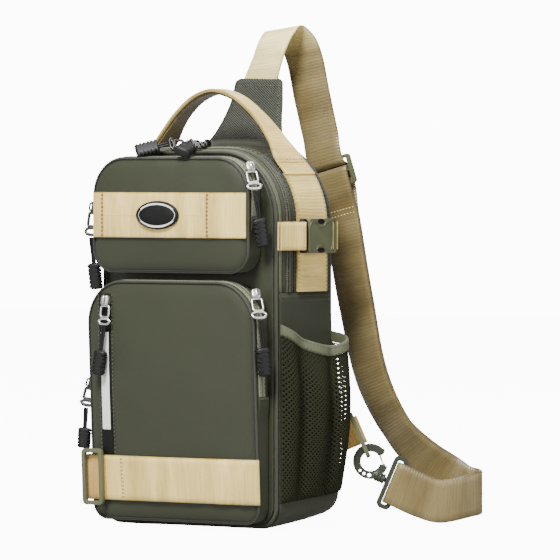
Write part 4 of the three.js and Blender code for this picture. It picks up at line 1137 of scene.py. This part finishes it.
# Distance from the middle, height, depth, width and thickness along one leg of the handle
HANDLE = ((84.6, 309.3, 8.5, 45, 1.4), (81.9, 312.2, 8.5, 45, 1.6), (76, 319, 8, 45, 1.6),
          (70.5, 326.4, 7.5, 41, 1.8), (63, 337.5, 6.5, 30, 2), (52, 352, 4.5, 23, 2.2),
          (40, 364.5, 2.5, 19, 2.4), (22, 377.5, 1, 17, 2.6), (0, 383.5, 0, 16.5, 2.6))
# Rows at each foot of the handle that have no fold under them
HANDLE_FOOT = 22


class BAG_OT_side_webbing(bpy.types.Operator):
    """Webbing up both sides and the carry handle that it turns into"""
    bl_idname = "bag.side_webbing"
    bl_label = "Side webbing and handle"

    def execute(self, context):
        lift = -SEAT - WEBBING
        for hand, name in ((1, "right"), (-1, "left")):
            spots = sides(hand, ZIP_FOOT + 2 * SEAT, ARCH_HEAD, 12)[:-1]
            spots += [(hand, "upper", a) for a in steps(0, 39, 12)]
            rows = strip_rows(main_at, spots, lambda z: [(y, lift) for y in steps(*SIDE_WEB, 10)])
            sheet(f"{name}_side_webbing", "tan", rows, [f"side_web_{name}"], woven=True, wall=WEBBING,
                  bevel=0.4, away_from=Vector((0, 8, 250)))
            for y in (SIDE_WEB[0] + 2, SIDE_WEB[1] - 2):
                path = arch_path(main_at, spots, y, lift - 0.1)
                stitch_line("webbing", path, Vector((hand, 0, 0.3)).normalized())

        def row(hand, out, z, y, width, thick):
            return Vector((-2 + hand * out, y, z)), BACK, width, thick
        rows = smooth_rows([row(1, *r) for r in HANDLE] + [row(-1, *r) for r in HANDLE[-2::-1]], 128)
        bm = bmesh.new()
        webbing(bm, rows, 10)
        outer_faces = len(bm.faces)
        under = []
        for i, (at, across, width, thick) in enumerate(rows[HANDLE_FOOT:-HANDLE_FOOT], HANDLE_FOOT):
            rise = (rows[i - 1][0] - rows[i + 1][0]).cross(across).normalized()
            sunk = smoothstep(min(i - HANDLE_FOOT, len(rows) - HANDLE_FOOT - 1 - i), 0, 14)
            middle = at - rise * (0.4 + 1.9 * sunk) + across * (3.2 * sunk - 1)
            under.append((middle, across, width - 1.5, thick))
        webbing(bm, under, 8)
        bm.faces.ensure_lookup_table()
        for face in bm.faces[outer_faces:]:
            face.material_index = 1
        # The under layer takes the shaded webbing copy: painted shade under the handle's fold
        piece(bm, "handle", "tan", ["carry_handle"], smooth=60, more=("painted_shade",))
        for hand in (1, -1):
            for out, z in ((76.8, 320.2), (74.9, 322.8)):
                path = [Vector((-2 + hand * out, y, z)) for y in steps(-14, 29, 16)]
                stitch_line("webbing", path, Vector((hand * 0.8, 0, 0.6)))
        return {"FINISHED"}


def cad_copy(name, bevel, segments=3):
    """A merged copy of a CAD node's mesh in the bag's millimetres, with its outer edges rounded."""
    bm = bmesh.new()
    bm.from_mesh(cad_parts[name].data)
    bmesh.ops.remove_doubles(bm, verts=bm.verts, dist=1e-6)
    bmesh.ops.dissolve_limit(bm, angle_limit=math.radians(1), verts=bm.verts, edges=bm.edges)
    bm.transform(TO_ROW.inverted())
    sharp = [e for e in bm.edges if e.is_convex and e.calc_face_angle(0) > math.radians(50)]
    bmesh.ops.bevel(bm, geom=sharp, offset=bevel, offset_type="OFFSET", affect="EDGES", segments=segments,
                    profile=0.5, material=-1, clamp_overlap=True)
    return bm


def moulded(name, node_name, finish, bevel, segments=3, **rest):
    """A moulded or cast piece: the CAD shape with its edges rounded."""
    piece(cad_copy(node_name, bevel, segments), name, finish, [node_name], smooth=50, **rest)


def ball(bm, at, turn, *size, subdivisions=3):
    """A ball stretched along three directions."""
    place = Matrix.Translation(at) @ turn @ Matrix.Diagonal((*size, 1))
    return bmesh.ops.create_icosphere(bm, subdivisions=subdivisions, radius=1, matrix=place)


BUCKLE_AT, PLUG_BAR, SOCKET_SLOT = 255.5, -13.05, 27.15
FRONT_COMPRESSION = (
    (95.2, -42), (95.4, -30), (97, -24), (97.6, -19), (97.9, PLUG_BAR - 1.6), (99.4, PLUG_BAR),
    (103.6, PLUG_BAR), (104.9, PLUG_BAR - 1.6), (104.7, -18.4), (103.2, -23), (100.8, -30), (99.2, -36),
    (98.2, -41.6))
REAR_COMPRESSION = (
    (97.75, 43), (97.75, 37), (97.7, 32), (98.2, 29), (99.5, SOCKET_SLOT + 0.75), (103.2, SOCKET_SLOT + 0.7),
    (104.4, SOCKET_SLOT), (103.2, SOCKET_SLOT - 0.7), (99, SOCKET_SLOT - 0.7), (97.4, SOCKET_SLOT + 0.2),
    (96.7, 30), (96.6, 36), (96.5, 42))
SOCKET_RIM = ((-7.2, 11.5), (1.8, 11.5), (4.2, 8.6), (12.2, 8.6), (15, 11.5), (23.2, 11.5))


class BAG_OT_compression(bpy.types.Operator):
    """Compression strap and its side-release buckle"""
    bl_idname = "bag.compression"
    bl_label = "Compression strap"

    def execute(self, context):
        for name, path, node_name in (("front_compression", FRONT_COMPRESSION, "compress_front"),
                                      ("rear_compression", REAR_COMPRESSION, "compress_rear")):
            points = [Vector((x, y, BUCKLE_AT)) for x, y in path]
            web(name, "tan", standing(points, UP, COMPRESSION, THIN_WEBBING, 70), node_name)
        moulded("socket", "buckle_socket", "plastic", 0.9)
        # The plug takes the near-black grip rubber as painted shade over its olive plastic
        moulded("plug", "buckle_plug", "rubber", 0.6, slot="olive_plastic")
        # Prongs and notch marks in black: painted shade in the socket's notches
        bm = bmesh.new()
        for hand in (-1, 1):
            prong = [Vector((101.9, y, BUCKLE_AT + hand * (13.5 - 1.6 * math.sin(math.pi * (y - 2) / 12.4))))
                     for y in steps(3, 13.6, 10)]
            tube(bm, prong, 1.7, 8, flat=0.9, face=RIGHT)
        for hand in (-1, 1):
            ball(bm, (105.2, 8.3, BUCKLE_AT + hand * 12.5), Matrix.Identity(4), 0.45, 6, 2.6)
        piece(bm, "plug_prongs", "black", slot="olive_plastic", smooth=60)
        outline = [(y, hand * h) for hand in (1, -1) for y, h in SOCKET_RIM[::hand]]
        path = catmull([Vector((105.3, y, BUCKLE_AT + h)) for y, h in outline], 96, True)
        tubes("socket_rim", "plastic", [path], 0.55, 6, True, RIGHT, smooth=60)
        return {"FINISHED"}


# The net's bulge: its reach by height, and its share across at the hem and below, where it folds
MESH_SECTIONS = ((0, 0.6), (0.02, 9), (0.12, 13.5), (0.3, 18.5), (0.5, 22.5), (0.7, 25), (0.86, 25), (1, 24))
MESH_ACROSS = ((0, 0.01), (0.12, 0.26), (0.28, 0.3), (0.42, 0.6), (0.54, 0.74), (0.63, 0.72), (0.74, 0.95),
               (0.86, 1), (0.95, 0.66), (1, 0.02))
MESH_FOLDS = ((0, 0.01), (0.09, 0.34), (0.17, 0.4), (0.265, 0.17), (0.35, 0.54), (0.46, 0.8), (0.56, 0.76),
              (0.635, 0.52), (0.72, 0.92), (0.84, 1), (0.95, 0.66), (1, 0.02))
NET_CUT, NET_STRETCH, REAR_STRAND = 170, (0.92, 1.1, 1), 1.3
# Height and lift round the binding
BINDING = ((0, 1.4), (0.4, 2.2), (2, 2.5), (HEM - 1.4, 2.5), (HEM - 0.3, 2.0), (HEM, 1.1), (HEM - 0.3, 0.2),
           (HEM - 1.4, 0), (0.4, 0), (0, 0.5))


class BAG_OT_mesh_pocket(bpy.types.Operator):
    """Net side pocket with its binding"""
    bl_idname = "bag.mesh_pocket"
    bl_label = "Net pocket"

    @staticmethod
    def point(u, up, lift, rise=0):
        """The net's point at a share across and up, lifted off it and raised."""
        depth = lerp(-38, 37, u)
        hem_foot = 169 - 19 * math.sin(math.pi * min(1, u * 0.78)) + 14 * max(0, u - 0.66)
        z = lerp(22.5 + 7 * u, hem_foot, up) + rise
        wall = edge(main_at(depth), 0, (1, "side", z))[0]
        bulge = lerp(between(MESH_FOLDS, u), between(MESH_ACROSS, u), smoothstep(up, 0.72, 1))
        return Vector((wall + SEAT + bulge * between(MESH_SECTIONS, up) + lift, depth, z))

    def execute(self, context):
        sizes = context.scene.bag_sizes
        wide, tall = NET_SIZE
        pitch = sizes.net * 1000
        count = int(NET_CUT / pitch)
        bm = bmesh.new()
        bmesh.ops.create_grid(bm, x_segments=count, y_segments=count, size=count * pitch / 2,
                              matrix=Matrix.Rotation(math.radians(45), 4, "Z"))
        bmesh.ops.scale(bm, vec=NET_STRETCH, verts=bm.verts)
        for normal, reach in ((RIGHT, wide / 2), (-RIGHT, wide / 2), (BACK, tall / 2), (-BACK, tall / 2)):
            bmesh.ops.bisect_plane(bm, geom=bm.verts[:] + bm.edges[:] + bm.faces[:], plane_co=normal * reach,
                                   plane_no=normal, clear_outer=True)
        rear = [f for f in bm.faces if f.calc_center_median().x > wide * NET_REAR]
        main = [f for f in bm.faces if f.calc_center_median().x <= wide * NET_REAR]
        for cells, share in ((rear, REAR_STRAND), (main, 1)):
            half_strand = sizes.strand * 500 * share
            bmesh.ops.inset_individual(bm, faces=cells, thickness=half_strand, use_even_offset=True)
        bmesh.ops.delete(bm, geom=rear + main, context="FACES")
        for v in bm.verts:
            v.co = self.point(min(max(v.co.x / wide + 0.5, 0), 1), min(max(v.co.y / tall + 0.5, 0), 1), 1.0)
        piece(bm, "net_pocket", "net", ["mesh_pocket"], wall=0.8, away_from=Vector((0, 0, 90)))
        rows = [[self.point(u, 1, lift, rise + SEAT) for rise, lift in BINDING] for u in steps(0, 1, 60)]
        bm = bmesh.new()
        extrude_rings(bm, rows)
        piece(bm, "net_binding", "light_cloth", ["mesh_binding"], smooth=50)
        for rise in (1.8, HEM - 1.8):
            path = [self.point(u, 1, 2.65, rise) for u in steps(0.03, 0.97, 60)]
            stitch_line("cloth", path, Vector((1, -0.3, 0)).normalized())
        return {"FINISHED"}


# Height, left side, right side and depth of the tab
TAB = ((322, -52, 44, 42.3), (337, -45, 39, 42.3), (346, -37, 37, 42.8), (358, -29, 36, 43.8),
       (374, -21, 36, 45), (394.4, -16, 35.4, 45.9))
TAB_FOOT, TAB_TOP, TAB_CORNER, TAB_THICK = 322, 394.4, 5, 3


class BAG_OT_tab(bpy.types.Operator):
    """Shoulder tab sewn to the back"""
    bl_idname = "bag.tab"
    bl_label = "Shoulder tab"

    def execute(self, context):
        def at(u, z, lift):
            left, right, depth = (between([(row[0], row[k]) for row in TAB], z) for k in (1, 2, 3))
            past = max(z - TAB_TOP + TAB_CORNER, 0)
            inset = TAB_CORNER - math.sqrt(max(TAB_CORNER**2 - past**2, 0))
            return Vector((lerp(left + inset, right - inset, u), depth + lift, z))
        across = [0, 0.01, 0.03, 0.06, *steps(0.1, 0.9, 12), 0.94, 0.97, 0.99, 1]
        rows = []
        for z in steps(TAB_FOOT, TAB_TOP, 40):
            near = min(z - TAB_FOOT, TAB_TOP - z)
            edges = [1.2 - 1.2 * min(1, min(u, 1 - u) * 20) * min(1, near / 2 + 0.2) for u in across]
            front = [at(u, z, lift) for u, lift in zip(across, edges)]
            rows.append(front + [at(u, z, TAB_THICK - lift) for u, lift in zip(across[::-1], edges[::-1])])
        bm = bmesh.new()
        extrude_rings(bm, rows)
        piece(bm, "tab", "twill", ["shoulder_tab"], smooth=50)
        for lift, normal, foot in ((-0.15, FRONT, 342), (TAB_THICK + 0.15, BACK, 325)):
            for u in (0.07, 0.93):
                stitch_line("cloth", [at(u, z, lift) for z in steps(foot, 387, 30)], normal)
            stitch_line("cloth", [at(u, 387.5, lift) for u in steps(0.06, 0.94, 20)], normal)
        return {"FINISHED"}


# Place of the strap's middle, and its turn and lift in degrees
STATIONS = (
    (10.4, 47.4, 389.4, 0, 2), (12.1, 47.4, 395.6, -1, 2), (19.8, 48, 415.1, -5, 7), (25.3, 51, 430.1, 0, 8),
    (28.2, 59, 438.2, 4, 8), (35.6, 67, 429.4, 5, 9), (41.5, 71, 413.4, 4, 10), (47.9, 75, 376.9, 4, 11),
    (58.2, 79, 329.8, 2, 13), (64.6, 81.6, 309, 0, 14), (72.6, 84, 277, 0, 13), (86.7, 88, 197.6, -2, 12),
    (102.2, 93, 126.7, -9, 18), (123.7, 101, 83.5, -18, 24), (145.5, 110, 59, -4, 36),
    (166, 116.5, 42.6, 16, 58), (184.6, 119.4, 33, 32, 84), (196.8, 120.2, 30.5, 36, 90),
    (203.6, 112.5, 29, 36, 90), (201.6, 103.4, 27.5, 36, 90), (180.8, 81.9, 22, 36, 86),
    (165.5, 71.5, 27.5, 36, 74),
)
ROWS_PER_STATION, ADJUSTER_STATION = 14, 9
# Length in which the two layers close up, radius of the end round the adjuster's bar, and place of its seam
CLOSING, ROLL, SEWN_BELOW = 26, 3.8, 31
# Distance below the adjuster's middle and height off the strap's middle, for the two layers
OUTER_WEAVE = ((-38, 0), (-15, 3.7), (-9.5, 3.5), (-1.5, -6.8), (3, -7), (9, -3.9), (15, -3.9), (38, 0))
INNER_WEAVE = ((0, 3.9), (15, 3.9), (38, WEBBING + 0.6))


def weave_at(table, key):
    if key <= table[0][0]:
        return table[0][1]
    for (k0, v0), (k1, v1) in zip(table, table[1:]):
        if key <= k1:
            return lerp(v0, v1, smoothstep(key, k0, k1))
    return table[-1][1]


class BAG_OT_strap(bpy.types.Operator):
    """Shoulder strap from the tab, through the adjuster, round the hook's bar and back"""
    bl_idname = "bag.strap"
    bl_label = "Shoulder strap"

    def execute(self, context):
        round_bar = 0.5 * BASE_THICK * 1.25 + SEAT + WEBBING / 2
        bar = SWIVEL + STEM * (BASE_WIDTH - BASE_BAR / 2)
        rows = []
        for x, y, z, turn, lift in STATIONS:
            turn, lift = math.radians(turn), math.radians(lift)
            flat = math.cos(lift)
            across = Vector((flat * math.cos(turn), flat * math.sin(turn), math.sin(lift)))
            rows.append((Vector((x, y, z)), across, STRAP, WEBBING))
        rows.append((bar - AWAY * round_bar, BAR_UP, STRAP, WEBBING))
        outer = smooth_rows(rows, ROWS_PER_STATION * (len(rows) - 1))
        middle_row = ADJUSTER_STATION * ROWS_PER_STATION
        last = len(outer) - 1
        normals = [(outer[min(i + 1, last)][0] - outer[max(i - 1, 0)][0]).cross(outer[i][1]).normalized()
                   for i in range(last + 1)]
        along = run_lengths([row[0] for row in outer])

        def below(i):
            return along[i] - along[middle_row]

        def shifted(i, offset):
            return (outer[i][0] + normals[i] * offset, *outer[i][1:])
        apart, layer = 2 * round_bar, WEBBING + 0.6
        path = [shifted(i, weave_at(OUTER_WEAVE, below(i))) for i in range(last + 1)]
        bend = turns(bar, AWAY, STEM * 1.4, round_bar, 180, 360, 14)[1:]
        path += [(p, BAR_UP, STRAP, WEBBING) for p in bend]
        for i in range(last, middle_row, -1):
            left = along[last] - along[i]
            if left > 1:
                closing = apart - (apart - layer) * min(1, left / CLOSING)
                path.append(shifted(i, max(weave_at(INNER_WEAVE, below(i)), closing)))
        at, across = outer[middle_row][:2]
        down = (outer[middle_row + 2][0] - outer[middle_row - 2][0]).normalized()
        roll = turns(at, normals[middle_row], down, ROLL, 0, -180, 10)
        path += [(p, across, STRAP, WEBBING) for p in [*roll, roll[-1] + down * 5]]
        # The strap's webbing goes from painted light on its front leg to painted shade on its long leg
        web("strap", "strap", path, "shoulder_strap")
        sewn = next(i for i in range(last) if below(i) > SEWN_BELOW)
        for i in (sewn, sewn + 1):
            at, across = shifted(i, layer + WEBBING / 2 + 0.15)[:2]
            seam = [at + across * (share * STRAP) for share in steps(-0.44, 0.44, 14)]
            stitch_line("faint", seam, normals[sewn])
        return {"FINISHED"}


# The collar along the hook's stem, the nose round the hook's eye, and the ring that the hook clips to
COLLAR_RIDGES, COLLAR_RADIUS, COLLAR_WIRE = (-8.6, -5.6, -2.4), 4, 0.75
HOOK_EYE, HOOK_REACH = (-18.5, 10), 12.2
NOSE_TURN, NOSE_SIZE = math.radians(64), (3.9, 2.6, 3.1)
RING_WIDTH, RING_WIRE = 24, 3.6
RING_LONG = RIGHTWARD * 0.393 - UP * 0.9195
RING_OUT = RIGHTWARD * 0.9195 + UP * 0.393
RING_AT = RIGHTWARD * 123.8 - AWAY * 33 + UP * 80
ROUND_RING = RING_WIRE * 0.72 + SEAT + WEBBING / 2


class BAG_OT_hardware(bpy.types.Operator):
    """Moulded adjuster, rings, swivel base, snap hook with its gate, and the webbing of the rear ring"""
    bl_idname = "bag.hardware"
    bl_label = "Hardware"

    def execute(self, context):
        moulded("adjuster", "strap_adjuster", "plastic", 0.9)
        moulded("front_ring", "band_ring", "plastic", 1.1)
        moulded("rear_ring", "hook_ring", "plastic", 1.1)
        moulded("hook_base", "swivel_base", "hook", 1.7, 4)
        moulded("hook_body", "snap_hook", "hook", 1.3, body="hook")
        self.collar()
        moulded("gate_wire", "hook_gate", "metal", 0.25, body="gate")
        self.ring_webbing()
        return {"FINISHED"}

    @staticmethod
    def collar():
        """Ridges round the hook's stem, and its rounded nose."""
        bm = bmesh.new()
        for along in COLLAR_RIDGES:
            path = turns(SWIVEL + STEM * along, BAR_UP, AWAY, COLLAR_RADIUS, 0, 345, 23)
            tube(bm, path, COLLAR_WIRE, 8, True, face=STEM)
        along, up = HOOK_EYE
        at = SWIVEL + STEM * (HOOK_REACH * math.cos(NOSE_TURN) + along)
        at += BAR_UP * (HOOK_REACH * math.sin(NOSE_TURN) + up)
        turn = Matrix((STEM, BAR_UP, -AWAY)).transposed().to_4x4() @ Matrix.Rotation(NOSE_TURN, 4, "Z")
        ball(bm, at, turn, *NOSE_SIZE)
        piece(bm, "hook_collar", "hook", body="hook", smooth=60)

    @staticmethod
    def ring_webbing():
        """Webbing that turns round the upper bar of the hook's ring."""
        bar = RING_AT + AWAY * ((RING_WIDTH - RING_WIRE) / 2) - RING_LONG * 4

        def off(out, back):
            return bar + RING_OUT * out + AWAY * back
        round_bar = turns(bar, RING_OUT, AWAY, ROUND_RING, 90, -90, 6)
        path = [off(-16, 3.2), off(-8, 3.3), *round_bar, off(-7, -1.6), off(-16, 0.9)]
        rows = standing(path, RING_LONG, COMPRESSION, THIN_WEBBING, 50)
        # The webbing round the rear ring takes the darker copy: painted shade
        web("rear_ring_webbing", "ring_shade", rows, "ring_loop_rear")


# Places of the slider, the link's foot and the grip's tip, and the side that they face
RIGHT_FRONT, TOP_FRONT = Vector((0.75, -0.66, 0)), Vector((0.45, -0.62, 0.64))
LEFT_FRONT, LEFT_HANGING = Vector((-0.8, -0.6, 0)), Vector((0.15, -0.99, 0))
PULLS = (
    ("upper_right", (73.5, -53, 315.7), (84.5, -61, 296), (88, -54, 246), RIGHT_FRONT),
    ("upper_left", (-98.5, -52.2, 280), (-99.5, -56, 254), (-98, -50, 207), LEFT_FRONT),
    ("lower_right", (80.7, -55, 205.3), (92, -64, 184), (92.5, -57, 134), RIGHT_FRONT),
    ("lower_left", (-102, -52.4, 124), (-104.5, -57, 103), (-108, -56, 66), LEFT_FRONT),
    ("slit", (-71.5, -71.4, 198), (-72, -73.4, 176), (-78.5, -73.4, 132), FRONT),
    ("main_left", (-14, ZIP_MIDDLE, 335.5), (-25, -41, 336), (-46, -59, 329), TOP_FRONT),
    ("main_right", (4, ZIP_MIDDLE, 335.5), (4, -43, 336), (9, -67, 328.6), TOP_FRONT),
)
SLIDER_SCALE = 1.3
BRIDGE = ((-3.4, 1.8), (-3, 3.8), (0, 4.4), (3, 3.8), (3.4, 1.8))
LINK_GAP, LINK_BEND, LINK_WIRE = 3.8, 0.62, {"metal": 1.15, "dark_metal": 1.5}
GRIP_RINGS, GRIP_SIDES, GRIP_ROUND, GRIP_WAVES = 72, 16, 4, 9
# Where a grip starts and ends along its cord, and its fullness
GRIP, MAIN_GRIP = (0.5, 0.995, 1), (0.3, 1.04, 1.2)
# Shares of a grip's length: its shoulder, the ends of its waves and its tail
SHOULDER, WAVE_ENDS, TAIL = 0.1, (0.14, 0.86), 0.88
NOTCHES, NOTCH_OUT, NOTCH_TURN, NOTCH_SIZE = (0.575, 0.91, 4), (3.5, 3.05), 0.35, (1.7, 0.75, 0.5)


class BAG_OT_pulls(bpy.types.Operator):
    """Zip sliders, their wire links and the notched grips on their cords"""
    bl_idname = "bag.pulls"
    bl_label = "Zip pulls"

    def execute(self, context):
        for name, slider, link, tip, face in PULLS:
            slider, link, tip = Vector(slider), Vector(link), Vector(tip)
            metal = "dark_metal" if "main" in name or "left" in name else "metal"
            down = (link - slider).normalized()
            self.slider(name, metal, slider, down, down.cross(face).normalized().cross(down).normalized())
            hanging = LEFT_HANGING if face == LEFT_FRONT else face
            self.link(name, metal, slider, link, down, down.cross(hanging).normalized())
            self.grip(name, link, tip, hanging)
        return {"FINISHED"}

    @staticmethod
    def slider(name, metal, at, down, out):
        bm = cad_copy(f"slider_{name}", 0.9)
        bmesh.ops.scale(bm, vec=(SLIDER_SCALE,) * 3, space=Matrix.Translation(-at), verts=bm.verts)
        path = catmull([at + down * low + out * high for low, high in BRIDGE], 14)
        tube(bm, path, 1.4, 8, flat=0.6, face=out)
        piece(bm, f"slider_body_{name}", metal, [f"slider_{name}"], smooth=50)

    @staticmethod
    def link(name, metal, slider, foot, down, across):
        """An eye of wire on the slider and a wider bow for the cord, with a bead between them."""
        long = (foot - slider).length - LINK_GAP
        head = foot - down * long
        wire = LINK_WIRE[metal]
        bend = long * LINK_BEND
        face = across.cross(down)

        def at(side, along):
            return head + across * side + down * along
        eye = ((-3, wire), (3, wire), (4.2, 1.9), (4.4, 5), (4.4, bend - 2.2), (3.6, bend - 0.6),
               (0, bend - 0.4), (-3.6, bend - 0.6), (-4.4, bend - 2.2), (-4.4, 5), (-4.2, 1.9))
        bow = ((-3.6, bend + 1.4), (0, bend + 1.1), (3.6, bend + 1.4), (5.9, bend + 3.2), (6.1, long - 4.2),
               (4.4, long - wire - 0.6), (0, long - wire), (-4.4, long - wire - 0.6), (-6.1, long - 4.2),
               (-5.9, bend + 3.2))
        bm = bmesh.new()
        for outline in (eye, bow):
            path = catmull([at(*spot) for spot in outline], 56, True)
            tube(bm, path, wire, 8, True, flat=0.72, face=face)
        tube(bm, [at(-1.6, bend + 0.4), at(1.6, bend + 0.4)], 1.5, 10, flat=0.8, face=face)
        piece(bm, f"link_wire_{name}", metal, [f"link_{name}"], smooth=60)

    @staticmethod
    def grip(name, link, tip, face):
        """A flat grip with wavy sides and notches marked in black as painted shade, moulded on a doubled
        cord.
        """
        long = (tip - link).length
        down = (tip - link).normalized()
        wide = down.cross(face).normalized()
        thin = down.cross(wide).normalized()
        start, end, plump = MAIN_GRIP if "main" in name else GRIP
        first, last = WAVE_ENDS
        rings = []
        for t in steps(0, 1, GRIP_RINGS):
            shoulder = (1 - (1 - min(1, t / SHOULDER)) ** 2) ** 0.5
            tail = (1 - max(0, (t - TAIL) / (1 - TAIL)) ** 2) ** 0.5 if t < 1 else 0
            half = plump * (2.0 + 4.2 * shoulder) * (0.5 + 0.5 * tail)
            thick = plump * (1.5 + 1.7 * shoulder) * (0.45 + 0.55 * tail)
            if first < t < last:
                wave = math.sin((t - first) / (last - first) * math.pi * GRIP_WAVES)
                half -= 1.3 * smoothstep(wave, 0.1, 0.5)
            at = link + down * (long * lerp(start, end, t))
            ring = []
            for k in range(GRIP_SIDES):
                angle = 2 * math.pi * k / GRIP_SIDES
                c, s = math.cos(angle), math.sin(angle)
                square = (abs(c) ** GRIP_ROUND + abs(s) ** GRIP_ROUND) ** (1 / GRIP_ROUND)
                ring.append(at + wide * (half * c / square) + thin * (thick * s / square))
            rings.append(ring)
        bm = bmesh.new()
        extrude_rings(bm, rings)
        for hand in (-1, 1):
            cord = ((0.9, 1.2), (long * 0.12, 1.25), (long * 0.3, 1.0), (long * 0.53, 0.9))
            tube(bm, catmull([link + down * low + wide * (hand * out) for low, out in cord], 16), 1.1, 8)
        # Black marks at the notches: painted shade in the recessed slots
        turn = Matrix((wide, down, thin)).transposed().to_4x4()
        aside, out = NOTCH_OUT
        for hand in (-1, 1):
            leaning = turn @ Matrix.Rotation(hand * NOTCH_TURN, 4, "Z")
            for share in steps(*NOTCHES):
                spot = link + down * (long * share) + wide * (hand * aside)
                for side in (-1, 1):
                    made = ball(bm, spot + thin * (side * out), leaning, *NOTCH_SIZE, subdivisions=2)
                    for notch in {f for v in made["verts"] for f in v.link_faces}:
                        notch.material_index = 1
        piece(bm, f"grip_{name}_moulded", "rubber", [f"grip_{name}"], smooth=50, more=("black",))


STITCH_HALF_WIDTH, STITCH_HALF_HEIGHT = 0.5, 0.34


class BAG_OT_thread(bpy.types.Operator):
    """All the stitches, one piece for each thread"""
    bl_idname = "bag.thread"
    bl_label = "Stitching"

    def execute(self, context):
        half = context.scene.bag_sizes.stitch * 500
        for kind, finish in (("cloth", "seam"), ("webbing", "thread"), ("faint", "pale_thread")):
            bm = bmesh.new()
            for a, b, normal in THREADS[kind]:
                along = (b - a).normalized()
                middle = (a + b) / 2
                up = normal(middle) if callable(normal) else normal
                wide = up.cross(along).normalized()
                turn = Matrix((along, wide, along.cross(wide).normalized())).transposed().to_4x4()
                ball(bm, middle, turn, half, STITCH_HALF_WIDTH, STITCH_HALF_HEIGHT, subdivisions=1)
            piece(bm, f"{kind}_stitches", finish, smooth=180)
        return {"FINISHED"}


class BAG_PT_panel(bpy.types.Panel):
    """Lists the bag's sizes, colours and pieces"""
    bl_label = "Sling bag"
    bl_idname = "BAG_PT_panel"
    bl_space_type = "VIEW_3D"
    bl_region_type = "UI"
    bl_category = "Bag"

    def draw(self, context):
        for group in (context.scene.bag_sizes, context.scene.bag_colours):
            for name in group.__annotations__:
                self.layout.prop(group, name)
        for operator in OPERATORS:
            self.layout.operator(operator.bl_idname)


OPERATORS = (BAG_OT_stage, BAG_OT_body, BAG_OT_main_zip, BAG_OT_pockets, BAG_OT_slit, BAG_OT_bands,
             BAG_OT_badge, BAG_OT_side_webbing, BAG_OT_compression, BAG_OT_mesh_pocket, BAG_OT_tab,
             BAG_OT_strap, BAG_OT_hardware, BAG_OT_pulls, BAG_OT_thread)
CLASSES = (BagSizes, BagColours, *OPERATORS, BAG_PT_panel)


def register():
    for one in CLASSES:
        bpy.utils.register_class(one)
    bpy.types.Scene.bag_sizes = PointerProperty(type=BagSizes)
    bpy.types.Scene.bag_colours = PointerProperty(type=BagColours)


def unregister():
    del bpy.types.Scene.bag_colours
    del bpy.types.Scene.bag_sizes
    for one in reversed(CLASSES):
        bpy.utils.unregister_class(one)


def main():
    register()
    for operator in OPERATORS:
        group, name = operator.bl_idname.split(".")
        getattr(getattr(bpy.ops, group), name)()
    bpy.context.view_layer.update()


if __name__ == "__main__":
    main()
